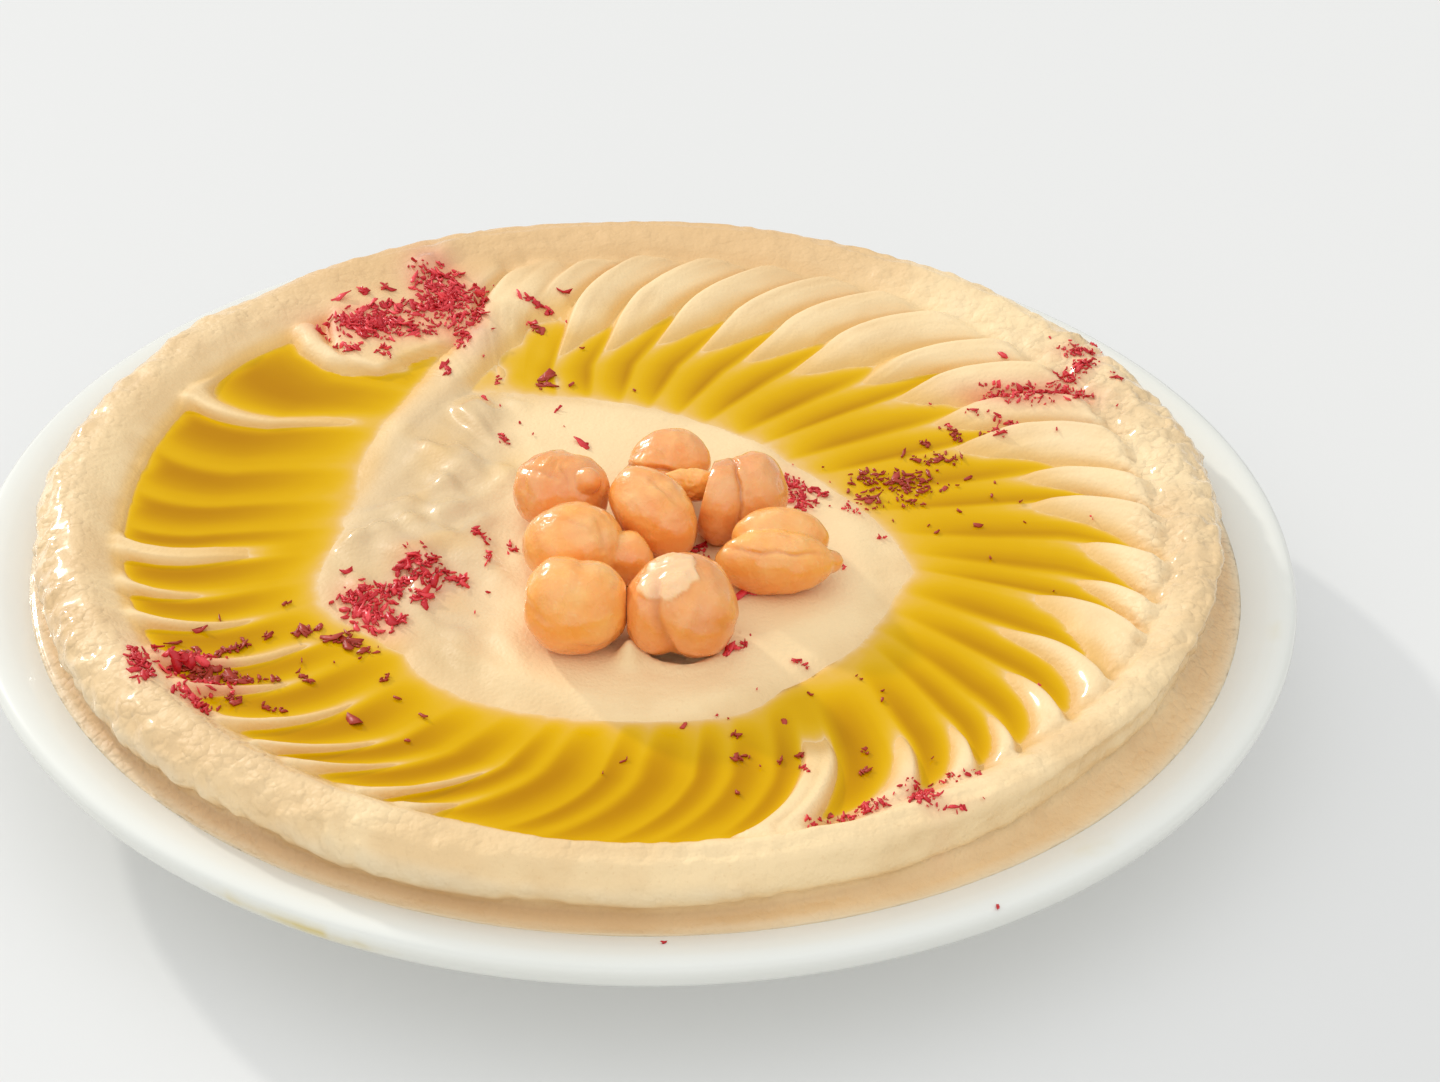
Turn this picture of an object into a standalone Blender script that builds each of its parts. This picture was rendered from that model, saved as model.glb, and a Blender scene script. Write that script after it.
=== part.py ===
"""Hummus spread on a round white side plate, ringed by a trough of olive oil and topped with chickpeas.

Sizes are in millimetres and become metres as each mesh is made. The origin is the middle of the plate's
foot, on the table; +Z is up, and -Y is the side with the two front chickpeas. Heights in the food are
measured from the top of the plate's rim, RIM_TOP above the table.
"""

import math

import bmesh
import bpy
import numpy as np

MM = 0.001
GAP = 0.35

# Plate
RIM_TOP = 18.0
PLATE_STEPS = 36
# From the middle of its upper face, out over the rim and back under by the foot ring: (radius, height)
PLATE_PROFILE = (
    (0.0, -9.0), (48.0, -9.0), (81.0, -1.7), (85.6, -0.25), (87.4, 0.0), (89.2, -0.5), (90.0, -1.9),
    (89.3, -3.6), (86.5, -4.6), (54.0, -13.0), (51.0, -17.4), (49.5, -18.0), (47.4, -18.0), (46.4, -17.2),
    (45.6, -13.6), (0.0, -13.0),
)
UPPER_FACE = PLATE_PROFILE[:5]

# Hummus: the trough of oil is a ring round (0, TROUGH_Y), and the outer roll is a ring round (0, ROLL_Y)
OIL_LEVEL = 5.0
TROUGH_Y = -3.75
ROLL_Y = -1.0
MIDDLE = 57.0
# Each ridge of the trough: where its crest crosses the MIDDLE ring, in degrees counterclockwise from +X,
# the radius at which the crest comes up out of the oil (over 72: it never does) and, for a broad ridge,
# how many degrees wide its flat top is
RIDGES = (
    (6.5, 54), (13.4, 55), (24.4, 49), (32.2, 50), (41.5, 50), (48.6, 50), (59, 46), (67.5, 46),
    (75.5, 47), (83.4, 48), (91.6, 46), (99.8, 46), (106, 58), (113.5, 56), (121.8, 78), (130.2, 78),
    (139.5, 78), (155.8, 47.5), (168.2, 78), (177, 78), (184.2, 78), (188.7, 50, 2.2), (199, 60),
    (206.4, 56), (215.3, 52), (221.5, 58), (230, 55), (239.2, 60), (246, 62), (253.3, 59), (257.8, 66),
    (265.2, 78), (269.7, 78), (276.7, 78), (281.3, 78), (287, 78), (292, 46, 2.8), (305, 58), (311.7, 60),
    (317, 62), (324.6, 58), (332.7, 53), (342.8, 55), (348.4, 60), (356.6, 60),
)
# How the ridges lean, by angle: degrees per mm outside the middle ring, then inside it, and how they curl
# near the island, in degrees per square mm
LEAN = (
    (0, 0.08, -0.05, 0), (20, 0.16, 0, 0), (40, 0.24, 0.05, 0.007), (60, 0.30, 0.12, 0.010),
    (80, 0.38, 0.33, 0.009), (100, 0.41, 0.40, 0.008), (105, 0.42, 0.42, 0.006), (125, 0.24, 0.10, 0),
    (138, 0.10, -0.45, 0), (155, -0.35, -0.70, 0), (170, -0.10, -0.36, 0), (188, -0.15, 0, 0),
    (206, 0.08, 0, 0), (230, 0.20, 0.10, 0), (245, 0.65, 0.33, 0), (265, 0.42, 0.22, 0),
    (290, 0.45, 0.33, 0), (312, 0.12, 0.30, 0), (330, 0.07, 0.13, 0), (345, 0.08, 0.05, 0),
)
# By angle from the trough's centre: the inner edge of the oil (the middle island's shore) and the foot of
# the bank outside it. Then, by ridge angle, the radius at which the furrows' floor comes up out of the oil
SHORE = (
    (7, 30.5), (20, 28.3), (38, 25.8), (55, 26.4), (73, 27.3), (90, 29.8), (100, 32), (106, 33.8),
    (114, 35), (122, 38), (130, 42), (140, 42), (150, 41.3), (165, 38.8), (175, 38.3), (185, 39.8),
    (195, 43.8), (207, 46.2), (214, 45.2), (221, 42.2), (227, 41), (233, 44.8), (242, 46.3), (270, 45),
    (290, 45.3), (301, 44.2), (311, 42), (322, 38.8), (334, 37.3), (343, 38.2), (356, 34),
)
BANK = (
    (0, 68.5), (40, 69), (80, 69), (105, 68), (125, 68), (145, 70.5), (180, 69.2), (255, 69.3), (263, 71),
    (274, 70.6), (278, 69.6), (283, 70.8), (291, 70.8), (298, 68.5), (320, 69.3), (350, 69.3),
)
LIMIT = (
    (0, 68), (7, 67), (14, 61), (24, 57), (33, 55), (40, 57), (44, 63), (49, 54), (60, 56), (76, 57),
    (86, 57), (94, 53), (104, 56), (113, 54), (120, 54), (139, 56), (142, 71), (290, 71), (300, 68),
    (333, 69), (337, 62), (343, 64), (345, 69),
)
# By angle: depth of the furrows below the oil, how far out they are deepest, as a share of the way from
# the shore to the limit, and how suddenly they come up again (1: evenly, more: all at the end)
DEPTH = (
    (0, 4.0, 0.42, 2.6), (30, 4.4, 0.38, 1.8), (60, 4.9, 0.34, 1.6), (90, 4.6, 0.34, 1.6),
    (102, 2.9, 0.34, 1.6), (107, 0.9, 0.34, 1.6), (113, 0.4, 0.4, 1.6), (120, 0.35, 0.5, 1.6),
    (125, 0.9, 0.5, 2), (136, 1.8, 0.5, 3), (141, 3.6, 0.55, 4), (148, 5.2, 0.74, 6), (170, 5.0, 0.74, 6),
    (200, 4.8, 0.7, 5), (215, 3.8, 0.62, 5), (225, 4.4, 0.6, 4), (262, 5.0, 0.52, 5), (290, 4.4, 0.5, 4),
    (320, 4.4, 0.5, 3), (340, 4.1, 0.46, 2.4),
)
# A ridge drops steeply to its furrow and climbs to the next crest. By angle: the share of the way that the
# furrow's bottom lies at, the power of the climb (under 1 it bulges, over 1 it is hollow), how far the
# furrow's floor rises above the oil on its way out, and how far the crests do
CLIMB = (
    (0, 0.24, 0.9, 0.3, 2.7), (25, 0.24, 0.8, 0.6, 3.1), (100, 0.24, 0.8, 0.6, 3.1),
    (112, 0.3, 1.0, 0.6, 2.4), (140, 0.3, 1.8, 0, 1.6), (156, 0.3, 2.4, 0, 1.6), (188, 0.3, 2.4, 0, 1.3),
    (253, 0.3, 2.4, 0, 1.3), (290, 0.3, 2.0, 0, 1.8), (320, 0.28, 1.4, 0, 2.1),
    (340, 0.26, 1.0, 0.3, 2.5),
)
# A ridge's climbing face is at most this many degrees wide
FACE = 8.5
# Raised bands of hummus that cross the trough: (x, y, height) along the band, and its half width
BANDS = (
    (((-14.5, 64, 7.3), (-20.5, 52, 6.9), (-24.5, 41, 6.5), (-28.5, 31, 6.2), (-33, 20, 5.9),
      (-36, 8, 5.5)), 4.0),
    (((-49.6, 45, 6.8), (-47.8, 40.5, 6.7), (-44.6, 37, 6.5), (-40.3, 35.7, 6.1), (-35, 36, 5.2)), 2.2),
)
# Roll round the hummus, from its crest outwards and down to the plate: (radius, height)
ROLL = (
    (76.2, 8.0), (79.3, 7.0), (81.1, 4.6), (81.1, 2.6), (79.9, 1.0), (81.7, -0.3), (82.3, -0.8),
)
# By angle: how far the roll's bulge is tucked in, while its foot stays
TUCK = ((0, 2.2), (14, 0), (275, 0), (298, 2.0), (325, 3.2), (350, 3.4))
ISLAND_ROWS = (0.7,)
TROUGH_ROWS = (0.0, 0.07, 0.18, 0.34, 0.50, 0.66, 0.80, 0.91, 0.985)
BASE_RADIUS = 48.0

# Chickpeas: centre, then the lobes that make each up as (offset x, y, z, half length x, y, z, tilt, turn)
PEAS = {
    "chickpea_1": (
        (-7.8, -33.1, 11.4),
        ((0, 0, -0.6, 6.7, 6.4, 5.7), (-1.6, 0, 1.2, 5.0, 5.6, 5.1), (1.8, -0.4, 0.9, 4.8, 5.6, 5.1)),
    ),
    "chickpea_2": (
        (5.5, -32.7, 11.7),
        ((0.3, 0.4, 0, 6.5, 6.4, 6.3), (-2.8, -0.8, -0.6, 4.6, 5.6, 5.6), (1.7, -1.2, -0.7, 5.6, 6.0, 5.6)),
    ),
    "chickpea_3": (
        (18.0, -18.7, 10.5),
        ((-0.3, -1.9, -0.5, 7.8, 3.9, 4.5), (0.6, 2.4, 0.5, 6.4, 3.6, 4.4), (6.8, -0.8, -0.9, 1.9, 1.5, 1.6)),
    ),
    "chickpea_4": ((-7.6, -19.3, 11.2), ((-0.9, 0, 0, 6.8, 6.0, 5.8), (6.6, -0.8, -1.2, 3.6, 3.6, 3.7))),
    "chickpea_5": ((2.1, -12.4, 12.2), ((0, 0, 0, 7.0, 4.9, 4.8, 34, -42), (-1.6, 1.8, 1.0, 4.4, 4.4, 4.0))),
    "chickpea_6": ((13.3, -7.0, 11.3), ((-2.4, -1.1, -0.2, 4.0, 5.4, 5.8), (2.0, 0.6, 0.2, 4.5, 5.6, 5.6))),
    "chickpea_7": (
        (-10.4, -6.0, 11.2),
        ((-1.0, 0, 0, 5.5, 5.6, 5.4), (1.6, 0, -0.3, 4.9, 5.2, 5.1), (4.6, -1.9, 0.8, 1.9, 1.7, 1.9)),
    ),
    "chickpea_8": ((3.3, 0.6, 10.6), ((0.8, 1.0, 0.8, 5.5, 4.6, 4.5), (-1.2, -2.0, -0.2, 4.5, 3.4, 4.5))),
    "chickpea_half": ((6.9, -5.6, 12.3), ((0, 0, 0, 3.6, 1.9, 2.3, 20, 12),)),
}
# How often each chickpea's ball of triangles is divided
PEA_DIVISIONS = 3
HALF_DIVISIONS = 2

COLOURS = {
    "plate": ((0.86, 0.86, 0.83), 0.18),
    "hummus": ((0.84, 0.69, 0.46), 0.45),
    "oil": ((0.72, 0.47, 0.03), 0.06),
    "chickpea": ((0.80, 0.47, 0.19), 0.25),
}


def by_angle(table, angle, column=1):
    """The table's value at each angle, in straight steps round the circle."""
    rows = np.array(table, float)
    return np.interp(angle, rows[:, 0], rows[:, column], period=360)


def smooth_step(x, low, high):
    t = np.clip((x - low) / (high - low), 0, 1)
    return t * t * (3 - 2 * t)


def smooth_max(a, b, k):
    return 0.5 * (a + b + np.sqrt((a - b) ** 2 + k * k))


def bend(middle, r):
    """Degrees that a ridge has turned, at radius r, from where it crosses the middle ring."""
    out = np.clip(r - MIDDLE, 0, 13)
    inwards = np.clip(MIDDLE - r, 0, 15)
    curl = by_angle(LEAN, middle, 3) * np.clip(MIDDLE - r, 0, 30) ** 2
    return by_angle(LEAN, middle, 2) * inwards + curl - by_angle(LEAN, middle, 1) * out - 0.027 * out * out


def plate_top(x, y):
    """Height of the plate's upper face."""
    r, z = np.array(UPPER_FACE).T
    return np.interp(np.hypot(x, y), r, z)


def ring_radius(angle, radius, centre_y):
    """Distance from the trough's centre, along each angle, to a circle round (0, centre_y)."""
    shift = centre_y - TROUGH_Y
    a = np.radians(angle)
    return shift * np.sin(a) + np.sqrt(radius**2 - (shift * np.cos(a)) ** 2)


def tuck(angle, z):
    """How far the roll is drawn in at height z: most half way down, nothing at its crest and its foot."""
    return by_angle(TUCK, angle) * smooth_step(z, -0.4, 1.5) * smooth_step(-z, -8.0, -4.5)


def band_height(x, y, band):
    """Height of a raised band: its spine's height, less a parabola across it."""
    spine, half_width = band
    spine = np.array(spine, float)
    best = np.full(np.shape(x), -50.0)
    for a, b in zip(spine[:-1], spine[1:]):
        along = b[:2] - a[:2]
        t = np.clip(((x - a[0]) * along[0] + (y - a[1]) * along[1]) / (along @ along), 0, 1)
        off = np.hypot(x - a[0] - t * along[0], y - a[1] - t * along[1])
        best = np.maximum(best, a[2] + t * (b[2] - a[2]) - 1.6 * (off / half_width) ** 2)
    return best


def height(x, y):
    """Height of the hummus's upper face over (x, y), out to the crest of its roll."""
    r = np.hypot(x, y - TROUGH_Y)
    angle = np.degrees(np.arctan2(y - TROUGH_Y, x)) % 360
    middle = angle
    for _ in range(9):
        middle = (angle - bend(middle, r)) % 360
    shore, bank = by_angle(SHORE, angle), by_angle(BANK, angle)
    limit = np.minimum(by_angle(LIMIT, middle), bank)
    past_bank = 1 - smooth_step(r, bank, bank + 5.5)
    # Furrows: soft at the island's shore, then deepest, then up out of the oil at the limit
    t = np.clip((r - shore) / (limit - shore), 0, 1)
    deepest = by_angle(DEPTH, middle, 2)
    late = np.clip((t - deepest) / (1 - deepest), 0, 1)
    bowl = np.sin(np.pi / 2 * np.clip(t / deepest, 0, 1)) ** 1.4 * (1 - late ** by_angle(DEPTH, middle, 3))
    rise = by_angle(CLIMB, middle, 3) * smooth_step(r, limit - 1, np.maximum(bank, limit + 1)) * past_bank
    floor = OIL_LEVEL - by_angle(DEPTH, middle) * bowl + rise
    # Where the point lies between two crests: 0 at one crest's flat top, 1 at the next crest
    crest_angle, comes_up, flat = np.array([(*ridge, 0)[:3] for ridge in RIDGES], float).T
    number = np.searchsorted(crest_angle, middle, side="right") - 1
    before, after = number % len(RIDGES), (number + 1) % len(RIDGES)
    width = (crest_angle[after] - crest_angle[before]) % 360 - flat[before]
    phase = np.clip(((middle - crest_angle[before]) % 360 - flat[before]) / width, 0, 1)
    furrow = by_angle(CLIMB, middle)
    foot = np.maximum(furrow, 1 - FACE / width)
    drop = 0.5 + 0.5 * np.cos(np.pi * np.clip(phase / furrow, 0, 1))
    climb = np.sin(np.pi / 2 * np.clip((phase - foot) / (1 - foot), 0, 1)) ** by_angle(CLIMB, middle, 2)
    # Crests: under the oil near the island, then out of it beyond each ridge's own radius
    share_out = np.clip((r - shore) / (bank - shore), 0, 1)
    surface = floor
    for share, ridge in ((drop, before), (climb, after)):
        start = np.maximum((comes_up[ridge] - shore) / (bank - shore), 0.02)
        under = -1.5 * np.minimum(start, 1) * np.sin(np.pi * np.clip(share_out / start, 0, 1))
        emerged = np.clip((share_out - start) / np.maximum(1 - start, 0.15), 0, 1)
        over = by_angle(CLIMB, middle, 4) * emerged**0.75
        surface = surface + share * (np.maximum(OIL_LEVEL + under + over * past_bank, floor) - floor)
    # Bank: from the outer edge of the oil up to the crest of the roll
    crest = ring_radius(angle, ROLL[0][0], ROLL_Y)
    up = np.clip((r - bank) / (crest - bank), 0, 1)
    outer_slope = OIL_LEVEL + (ROLL[0][1] - OIL_LEVEL) * np.sin(np.pi / 2 * up) ** 1.15
    surface = smooth_max(surface, np.where(r > bank, outer_slope, OIL_LEVEL - 1.8 * (bank - r)), 0.3)
    # Terrace between the two raised bands
    terrace = smooth_step(middle, 112, 117) * (1 - smooth_step(middle, 136, 141)) * smooth_step(r, 50, 54)
    surface = np.maximum(surface, OIL_LEVEL - 6 + terrace * (7.1 + 0.05 * (r - 50)))
    for band in BANDS:
        surface = smooth_max(surface, band_height(x, y, band), 0.5)
    # Island: a low cushion inside the shore
    island = OIL_LEVEL + 1.2 * (1 - np.exp(-np.maximum(shore - r, 0) / 6.0))
    cushion = smooth_max(island, surface - 0.6 * smooth_step(shore - r, 0, 6), 0.1)
    return np.where(r < shore, cushion, surface)


def collection(name):
    made = bpy.data.collections.new(name)
    bpy.context.scene.collection.children.link(made)
    return made


def material(kind):
    made = bpy.data.materials.new(kind)
    made.use_nodes = True
    shader = made.node_tree.nodes["Principled BSDF"]
    colour, roughness = COLOURS[kind]
    shader.inputs["Base Color"].default_value = (*colour, 1)
    shader.inputs["Roughness"].default_value = roughness
    return made


def add(name, mesh, kind):
    """Puts a mesh, in metres, into the part as a smooth-shaded object."""
    for face in mesh.polygons:
        face.use_smooth = True
    mesh.materials.clear()
    mesh.materials.append(MATERIALS[kind])
    made = bpy.data.objects.new(name, mesh)
    PART.objects.link(made)
    return made


def points_of(mesh):
    points = np.empty(len(mesh.vertices) * 3)
    mesh.vertices.foreach_get("co", points)
    return points.reshape(-1, 3)


def turned(name, profile, steps, kind):
    """Turns a profile round Z with a Screw; it runs from the axis, out and down, and back to the axis."""
    mesh = bpy.data.meshes.new(name)
    points = [(r * MM, 0, z * MM) for r, z in profile]
    mesh.from_pydata(points, [(i, i + 1) for i in range(len(points) - 1)], [])
    made = add(name, mesh, kind)
    screw = made.modifiers.new("turn", "SCREW")
    screw.steps = steps
    screw.render_steps = steps
    screw.use_merge_vertices = True
    screw.merge_threshold = 0.00001
    screw.use_smooth_shade = True
    return made


def make_plate():
    turned("plate", [(r, z + RIM_TOP) for r, z in PLATE_PROFILE], PLATE_STEPS, "plate")


def hummus_rows():
    """Rows of the hummus from its middle, out over the roll and back under.

    Each row is a function that gives x, y and z for the columns' middle angles.
    """
    def on_top(share_of):
        def row(middle):
            angle = middle
            for _ in range(6):
                r = share_of(angle)
                angle = middle + bend(middle, r)
            a = np.radians(angle)
            x, y = r * np.cos(a), TROUGH_Y + r * np.sin(a)
            return x, y, height(x, y)
        return row

    def on_ring(radius, z):
        def row(middle):
            angle = middle + bend(middle, MIDDLE + 13.0)
            r = ring_radius(angle, radius if z is None else radius - tuck(angle, z), ROLL_Y)
            a = np.radians(angle)
            x, y = r * np.cos(a), TROUGH_Y + r * np.sin(a)
            floor = plate_top(x, y) + GAP
            return x, y, floor if z is None else np.maximum(z, floor)
        return row

    def shore(angle):
        return by_angle(SHORE, angle)

    def bank(angle):
        return by_angle(BANK, angle)

    def crest(angle):
        return ring_radius(angle, ROLL[0][0], ROLL_Y)

    def between(low, high, share):
        return on_top(lambda angle: low(angle) * (1 - share) + high(angle) * share)

    rows = [on_top(lambda angle: 0.001 + 0 * angle)]
    rows += [on_top(lambda angle, share=share: share * shore(angle)) for share in ISLAND_ROWS]
    rows += [between(shore, bank, share) for share in TROUGH_ROWS]
    rows.append(between(bank, crest, 0.45))
    rows += [on_ring(radius, z) for radius, z in ROLL]
    rows += [on_ring(radius, None) for radius in (ROLL[-1][0] - 0.6, BASE_RADIUS)]
    return rows


def ridge_columns():
    """Middle angles of the columns, and which column is each ridge's crest.

    Each ridge has a column on its crest, one on the far edge of a flat top, one in the furrow after it and,
    in a wide furrow, one at the next ridge's foot.
    """
    crests, _, flats = np.array([(*ridge, 0)[:3] for ridge in RIDGES], float).T
    gaps = (np.roll(crests, -1) - crests) % 360
    middle, crest_columns = [], []
    for crest, gap, flat, furrow in zip(crests, gaps, flats, by_angle(CLIMB, crests)):
        crest_columns.append(len(middle))
        middle.append(crest)
        if flat > 0:
            middle.append(crest + flat)
        middle.append(crest + flat + furrow * (gap - flat))
        if (gap - flat) * (1 - furrow) > 1.25 * FACE:
            middle.append(crest + gap - FACE)
    return np.array(middle), crest_columns


def make_hummus():
    """A turned blank with one step to each column, whose rows are then moved to the spread's form."""
    rows = hummus_rows()
    middle, crest_columns = ridge_columns()
    count = len(rows)
    # The blank's rows lie on a half circle, so that each is known again by its place after turning
    arc = np.linspace(0, np.pi, count + 1)
    blank = turned("hummus", list(zip(50 * np.sin(arc), 50 * np.cos(arc))), len(middle), "hummus")
    graph = bpy.context.evaluated_depsgraph_get()
    mesh = bpy.data.meshes.new_from_object(blank.evaluated_get(graph))
    blank.modifiers.clear()
    points = points_of(mesh) / MM
    row = np.rint(np.arctan2(np.hypot(points[:, 0], points[:, 1]), points[:, 2]) / arc[1]).astype(int)
    turns = np.degrees(np.arctan2(points[:, 1], points[:, 0])) / 360
    column = np.rint(turns * len(middle)).astype(int) % len(middle)
    grid = np.array([np.stack(each(middle), 1) for each in rows])
    moved = grid[np.minimum(row, count - 1), column]
    moved[row == 0] = (0, TROUGH_Y, height(np.array([0.0]), np.array([TROUGH_Y]))[0])
    moved[row == count] = (0, TROUGH_Y, plate_top(0, 0) + GAP)
    moved[:, 2] += RIM_TOP
    mesh.vertices.foreach_set("co", (moved * MM).ravel())
    old = blank.data
    blank.data = mesh
    bpy.data.meshes.remove(old)
    mesh.name = "hummus"
    form = bmesh.new()
    form.from_mesh(mesh)
    bmesh.ops.triangulate(form, faces=form.faces)
    form.to_mesh(mesh)
    form.free()
    mesh.materials.clear()
    mesh.materials.append(MATERIALS["hummus"])
    return grid, crest_columns, blank


def make_pool(name, grid, first, last, bed):
    """Oil between two ridges that stand out of it: a slab over those columns, less the hummus under it.

    The slab's two ends follow the ridges' crests, and its bottom and side walls lie inside the hummus.
    """
    rows = grid[len(ISLAND_ROWS):2 + len(ISLAND_ROWS) + len(TROUGH_ROWS):2]
    across = rows[:, np.arange(first, last + 1) % grid.shape[1], :2]
    n, m = across.shape[:2]
    form = bmesh.new()
    levels = []
    for z in (RIM_TOP + OIL_LEVEL, RIM_TOP - 0.4):
        levels.append([[form.verts.new((x * MM, y * MM, z * MM)) for x, y in line] for line in across])
    rim = [(0, j) for j in range(m)] + [(i, m - 1) for i in range(1, n)]
    rim += [(n - 1, j) for j in range(m - 2, -1, -1)] + [(i, 0) for i in range(n - 2, 0, -1)]
    for vertices in levels:
        for line, following in zip(vertices[:-1], vertices[1:]):
            for j in range(m - 1):
                form.faces.new((line[j], line[j + 1], following[j + 1], following[j]))
    top, bottom = levels
    for (i, j), (k, l) in zip(rim, rim[1:] + rim[:1]):
        form.faces.new((top[i][j], top[k][l], bottom[k][l], bottom[i][j]))
    bmesh.ops.recalc_face_normals(form, faces=form.faces)
    mesh = bpy.data.meshes.new(name)
    form.to_mesh(mesh)
    form.free()
    pool = add(name, mesh, "oil")
    cut = pool.modifiers.new("bed", "BOOLEAN")
    cut.operation = "DIFFERENCE"
    cut.solver = "EXACT"
    cut.object = bed


def make_bed(hummus):
    """Cutter: the hummus, raised by the gap that stays under the oil."""
    bed = bpy.data.objects.new("oil_bed", hummus.data.copy())
    bed.location.z = GAP * MM
    bed.hide_render = True
    bed.display_type = "WIRE"
    CUTTERS.objects.link(bed)
    return bed


def lobe_reach(way, lobe):
    """Distance from a chickpea's centre to the far side of one ellipsoid lobe, along each unit vector."""
    centre, half = np.array(lobe[:3]), np.array(lobe[3:6])
    tilt, turn = (math.radians(k) for k in (lobe[6:] or (0, 0)))
    tilted = np.array([(math.cos(tilt), 0, math.sin(tilt)), (0, 1, 0), (-math.sin(tilt), 0, math.cos(tilt))])
    cosine, sine = math.cos(turn), math.sin(turn)
    turned_by = np.array([(cosine, -sine, 0), (sine, cosine, 0), (0, 0, 1)])
    frame = turned_by @ tilted
    w, c = (way @ frame) / half, (centre @ frame) / half
    a, b, d = (w * w).sum(1), w @ c, c @ c - 1
    return (b + np.sqrt(np.maximum(b * b - a * d, 0))) / a * (b * b - a * d > 0)


def pea_reach(way, lobes):
    reach = lobe_reach(way, lobes[0])
    for lobe in lobes[1:]:
        reach = smooth_max(reach, lobe_reach(way, lobe), 0.35)
    return reach


def make_pea(name):
    centre, lobes = PEAS[name]
    centre = np.array(centre)
    mesh = bpy.data.meshes.new(name)
    form = bmesh.new()
    divisions = HALF_DIVISIONS if name == "chickpea_half" else PEA_DIVISIONS
    bmesh.ops.create_icosphere(form, subdivisions=divisions, radius=1)
    form.to_mesh(mesh)
    form.free()
    way = points_of(mesh)
    way /= np.linalg.norm(way, axis=1)[:, None]
    points = centre + way * pea_reach(way, lobes)[:, None]
    # Where two chickpeas press together, each is flat on its own side of one plane between them
    for other, (there, its_lobes) in PEAS.items():
        apart = np.array(there) - centre
        distance = np.linalg.norm(apart)
        if other == name or distance > 18:
            continue
        n = apart / distance
        mine, theirs = pea_reach(n[None], lobes)[0], pea_reach(-n[None], its_lobes)[0]
        limit = distance * mine / (mine + theirs) - GAP / 2
        beyond = np.maximum((points - centre) @ n - limit, 0)
        points -= beyond[:, None] * n
    points[:, 2] = np.maximum(points[:, 2], height(points[:, 0], points[:, 1]) + GAP + 0.05)
    points[:, 2] += RIM_TOP
    mesh.vertices.foreach_set("co", (points * MM).ravel())
    add(name, mesh, "chickpea")


def clear_scene():
    for thing in list(bpy.data.objects):
        bpy.data.objects.remove(thing)


clear_scene()
MATERIALS = {kind: material(kind) for kind in COLOURS}
PART = collection("hummus_plate")
CUTTERS = collection("cutters")
make_plate()
GRID, CRESTS, HUMMUS = make_hummus()
BED = make_bed(HUMMUS)
# The pools lie between the ridges that stand out of the oil across the whole trough
make_pool("oil_upper_left", GRID, CRESTS[15], CRESTS[17], BED)
make_pool("oil_left", GRID, CRESTS[17], CRESTS[36], BED)
make_pool("oil_right", GRID, CRESTS[36], CRESTS[14] + GRID.shape[1], BED)
for pea_name in PEAS:
    make_pea(pea_name)
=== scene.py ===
# %% [markdown]
# # Hummus on a plate
# A round white side plate holds hummus that was spread with a spoon. The spoon left a trough with
# some forty-five small ridges, and olive oil fills the trough. Boiled chickpeas sit in the middle, and
# crushed sumac is sprinkled over everything. The CAD parts give every place and size: this lesson
# makes the surfaces fine enough to look at, and gives each one its finish.

# %% Load the frame
import itertools
import math

import bpy
import numpy as np
from mathutils import Matrix, Vector
from mathutils.bvhtree import BVHTree


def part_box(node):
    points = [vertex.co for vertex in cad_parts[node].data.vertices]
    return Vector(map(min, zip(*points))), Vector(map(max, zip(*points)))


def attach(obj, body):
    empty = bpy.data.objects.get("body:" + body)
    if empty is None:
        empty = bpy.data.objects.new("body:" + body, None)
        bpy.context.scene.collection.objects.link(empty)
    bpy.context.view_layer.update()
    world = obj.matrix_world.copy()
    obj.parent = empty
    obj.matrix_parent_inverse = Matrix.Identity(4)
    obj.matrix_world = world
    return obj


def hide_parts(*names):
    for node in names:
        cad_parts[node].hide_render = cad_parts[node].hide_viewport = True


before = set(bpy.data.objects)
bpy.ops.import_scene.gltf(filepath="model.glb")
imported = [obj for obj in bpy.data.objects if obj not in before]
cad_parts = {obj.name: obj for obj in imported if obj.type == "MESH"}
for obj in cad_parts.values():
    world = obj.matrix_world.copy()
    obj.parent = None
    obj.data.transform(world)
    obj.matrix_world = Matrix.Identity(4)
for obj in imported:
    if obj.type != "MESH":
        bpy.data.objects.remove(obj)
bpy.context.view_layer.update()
MM = 0.001
RIM_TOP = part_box("plate")[1].z / MM
PLATE_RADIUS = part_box("plate")[1].x / MM
OIL_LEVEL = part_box("oil_left")[1].z / MM - RIM_TOP
print("nodes:", sorted(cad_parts))
print(f"plate radius {PLATE_RADIUS:.1f} mm, rim top {RIM_TOP:.1f} mm, oil {OIL_LEVEL:.2f} mm above the rim")

# %% [markdown]
# ## Camera
# A camera is placed by where it looks from. This one looks down at the plate from the front at about
# a third of a right angle, with a long lens, so that the far side of the plate stays nearly as large
# as the near side. It is turned a little off its target, as a camera on a tripod is.

# %% Camera
CAMERA_RISE = math.radians(33.51)
CAMERA_DISTANCE = 0.4675
CAMERA_YAW = math.radians(-1.37)
CAMERA_PITCH = math.radians(-0.04)
CAMERA_ROLL = math.radians(-0.91)


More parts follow.
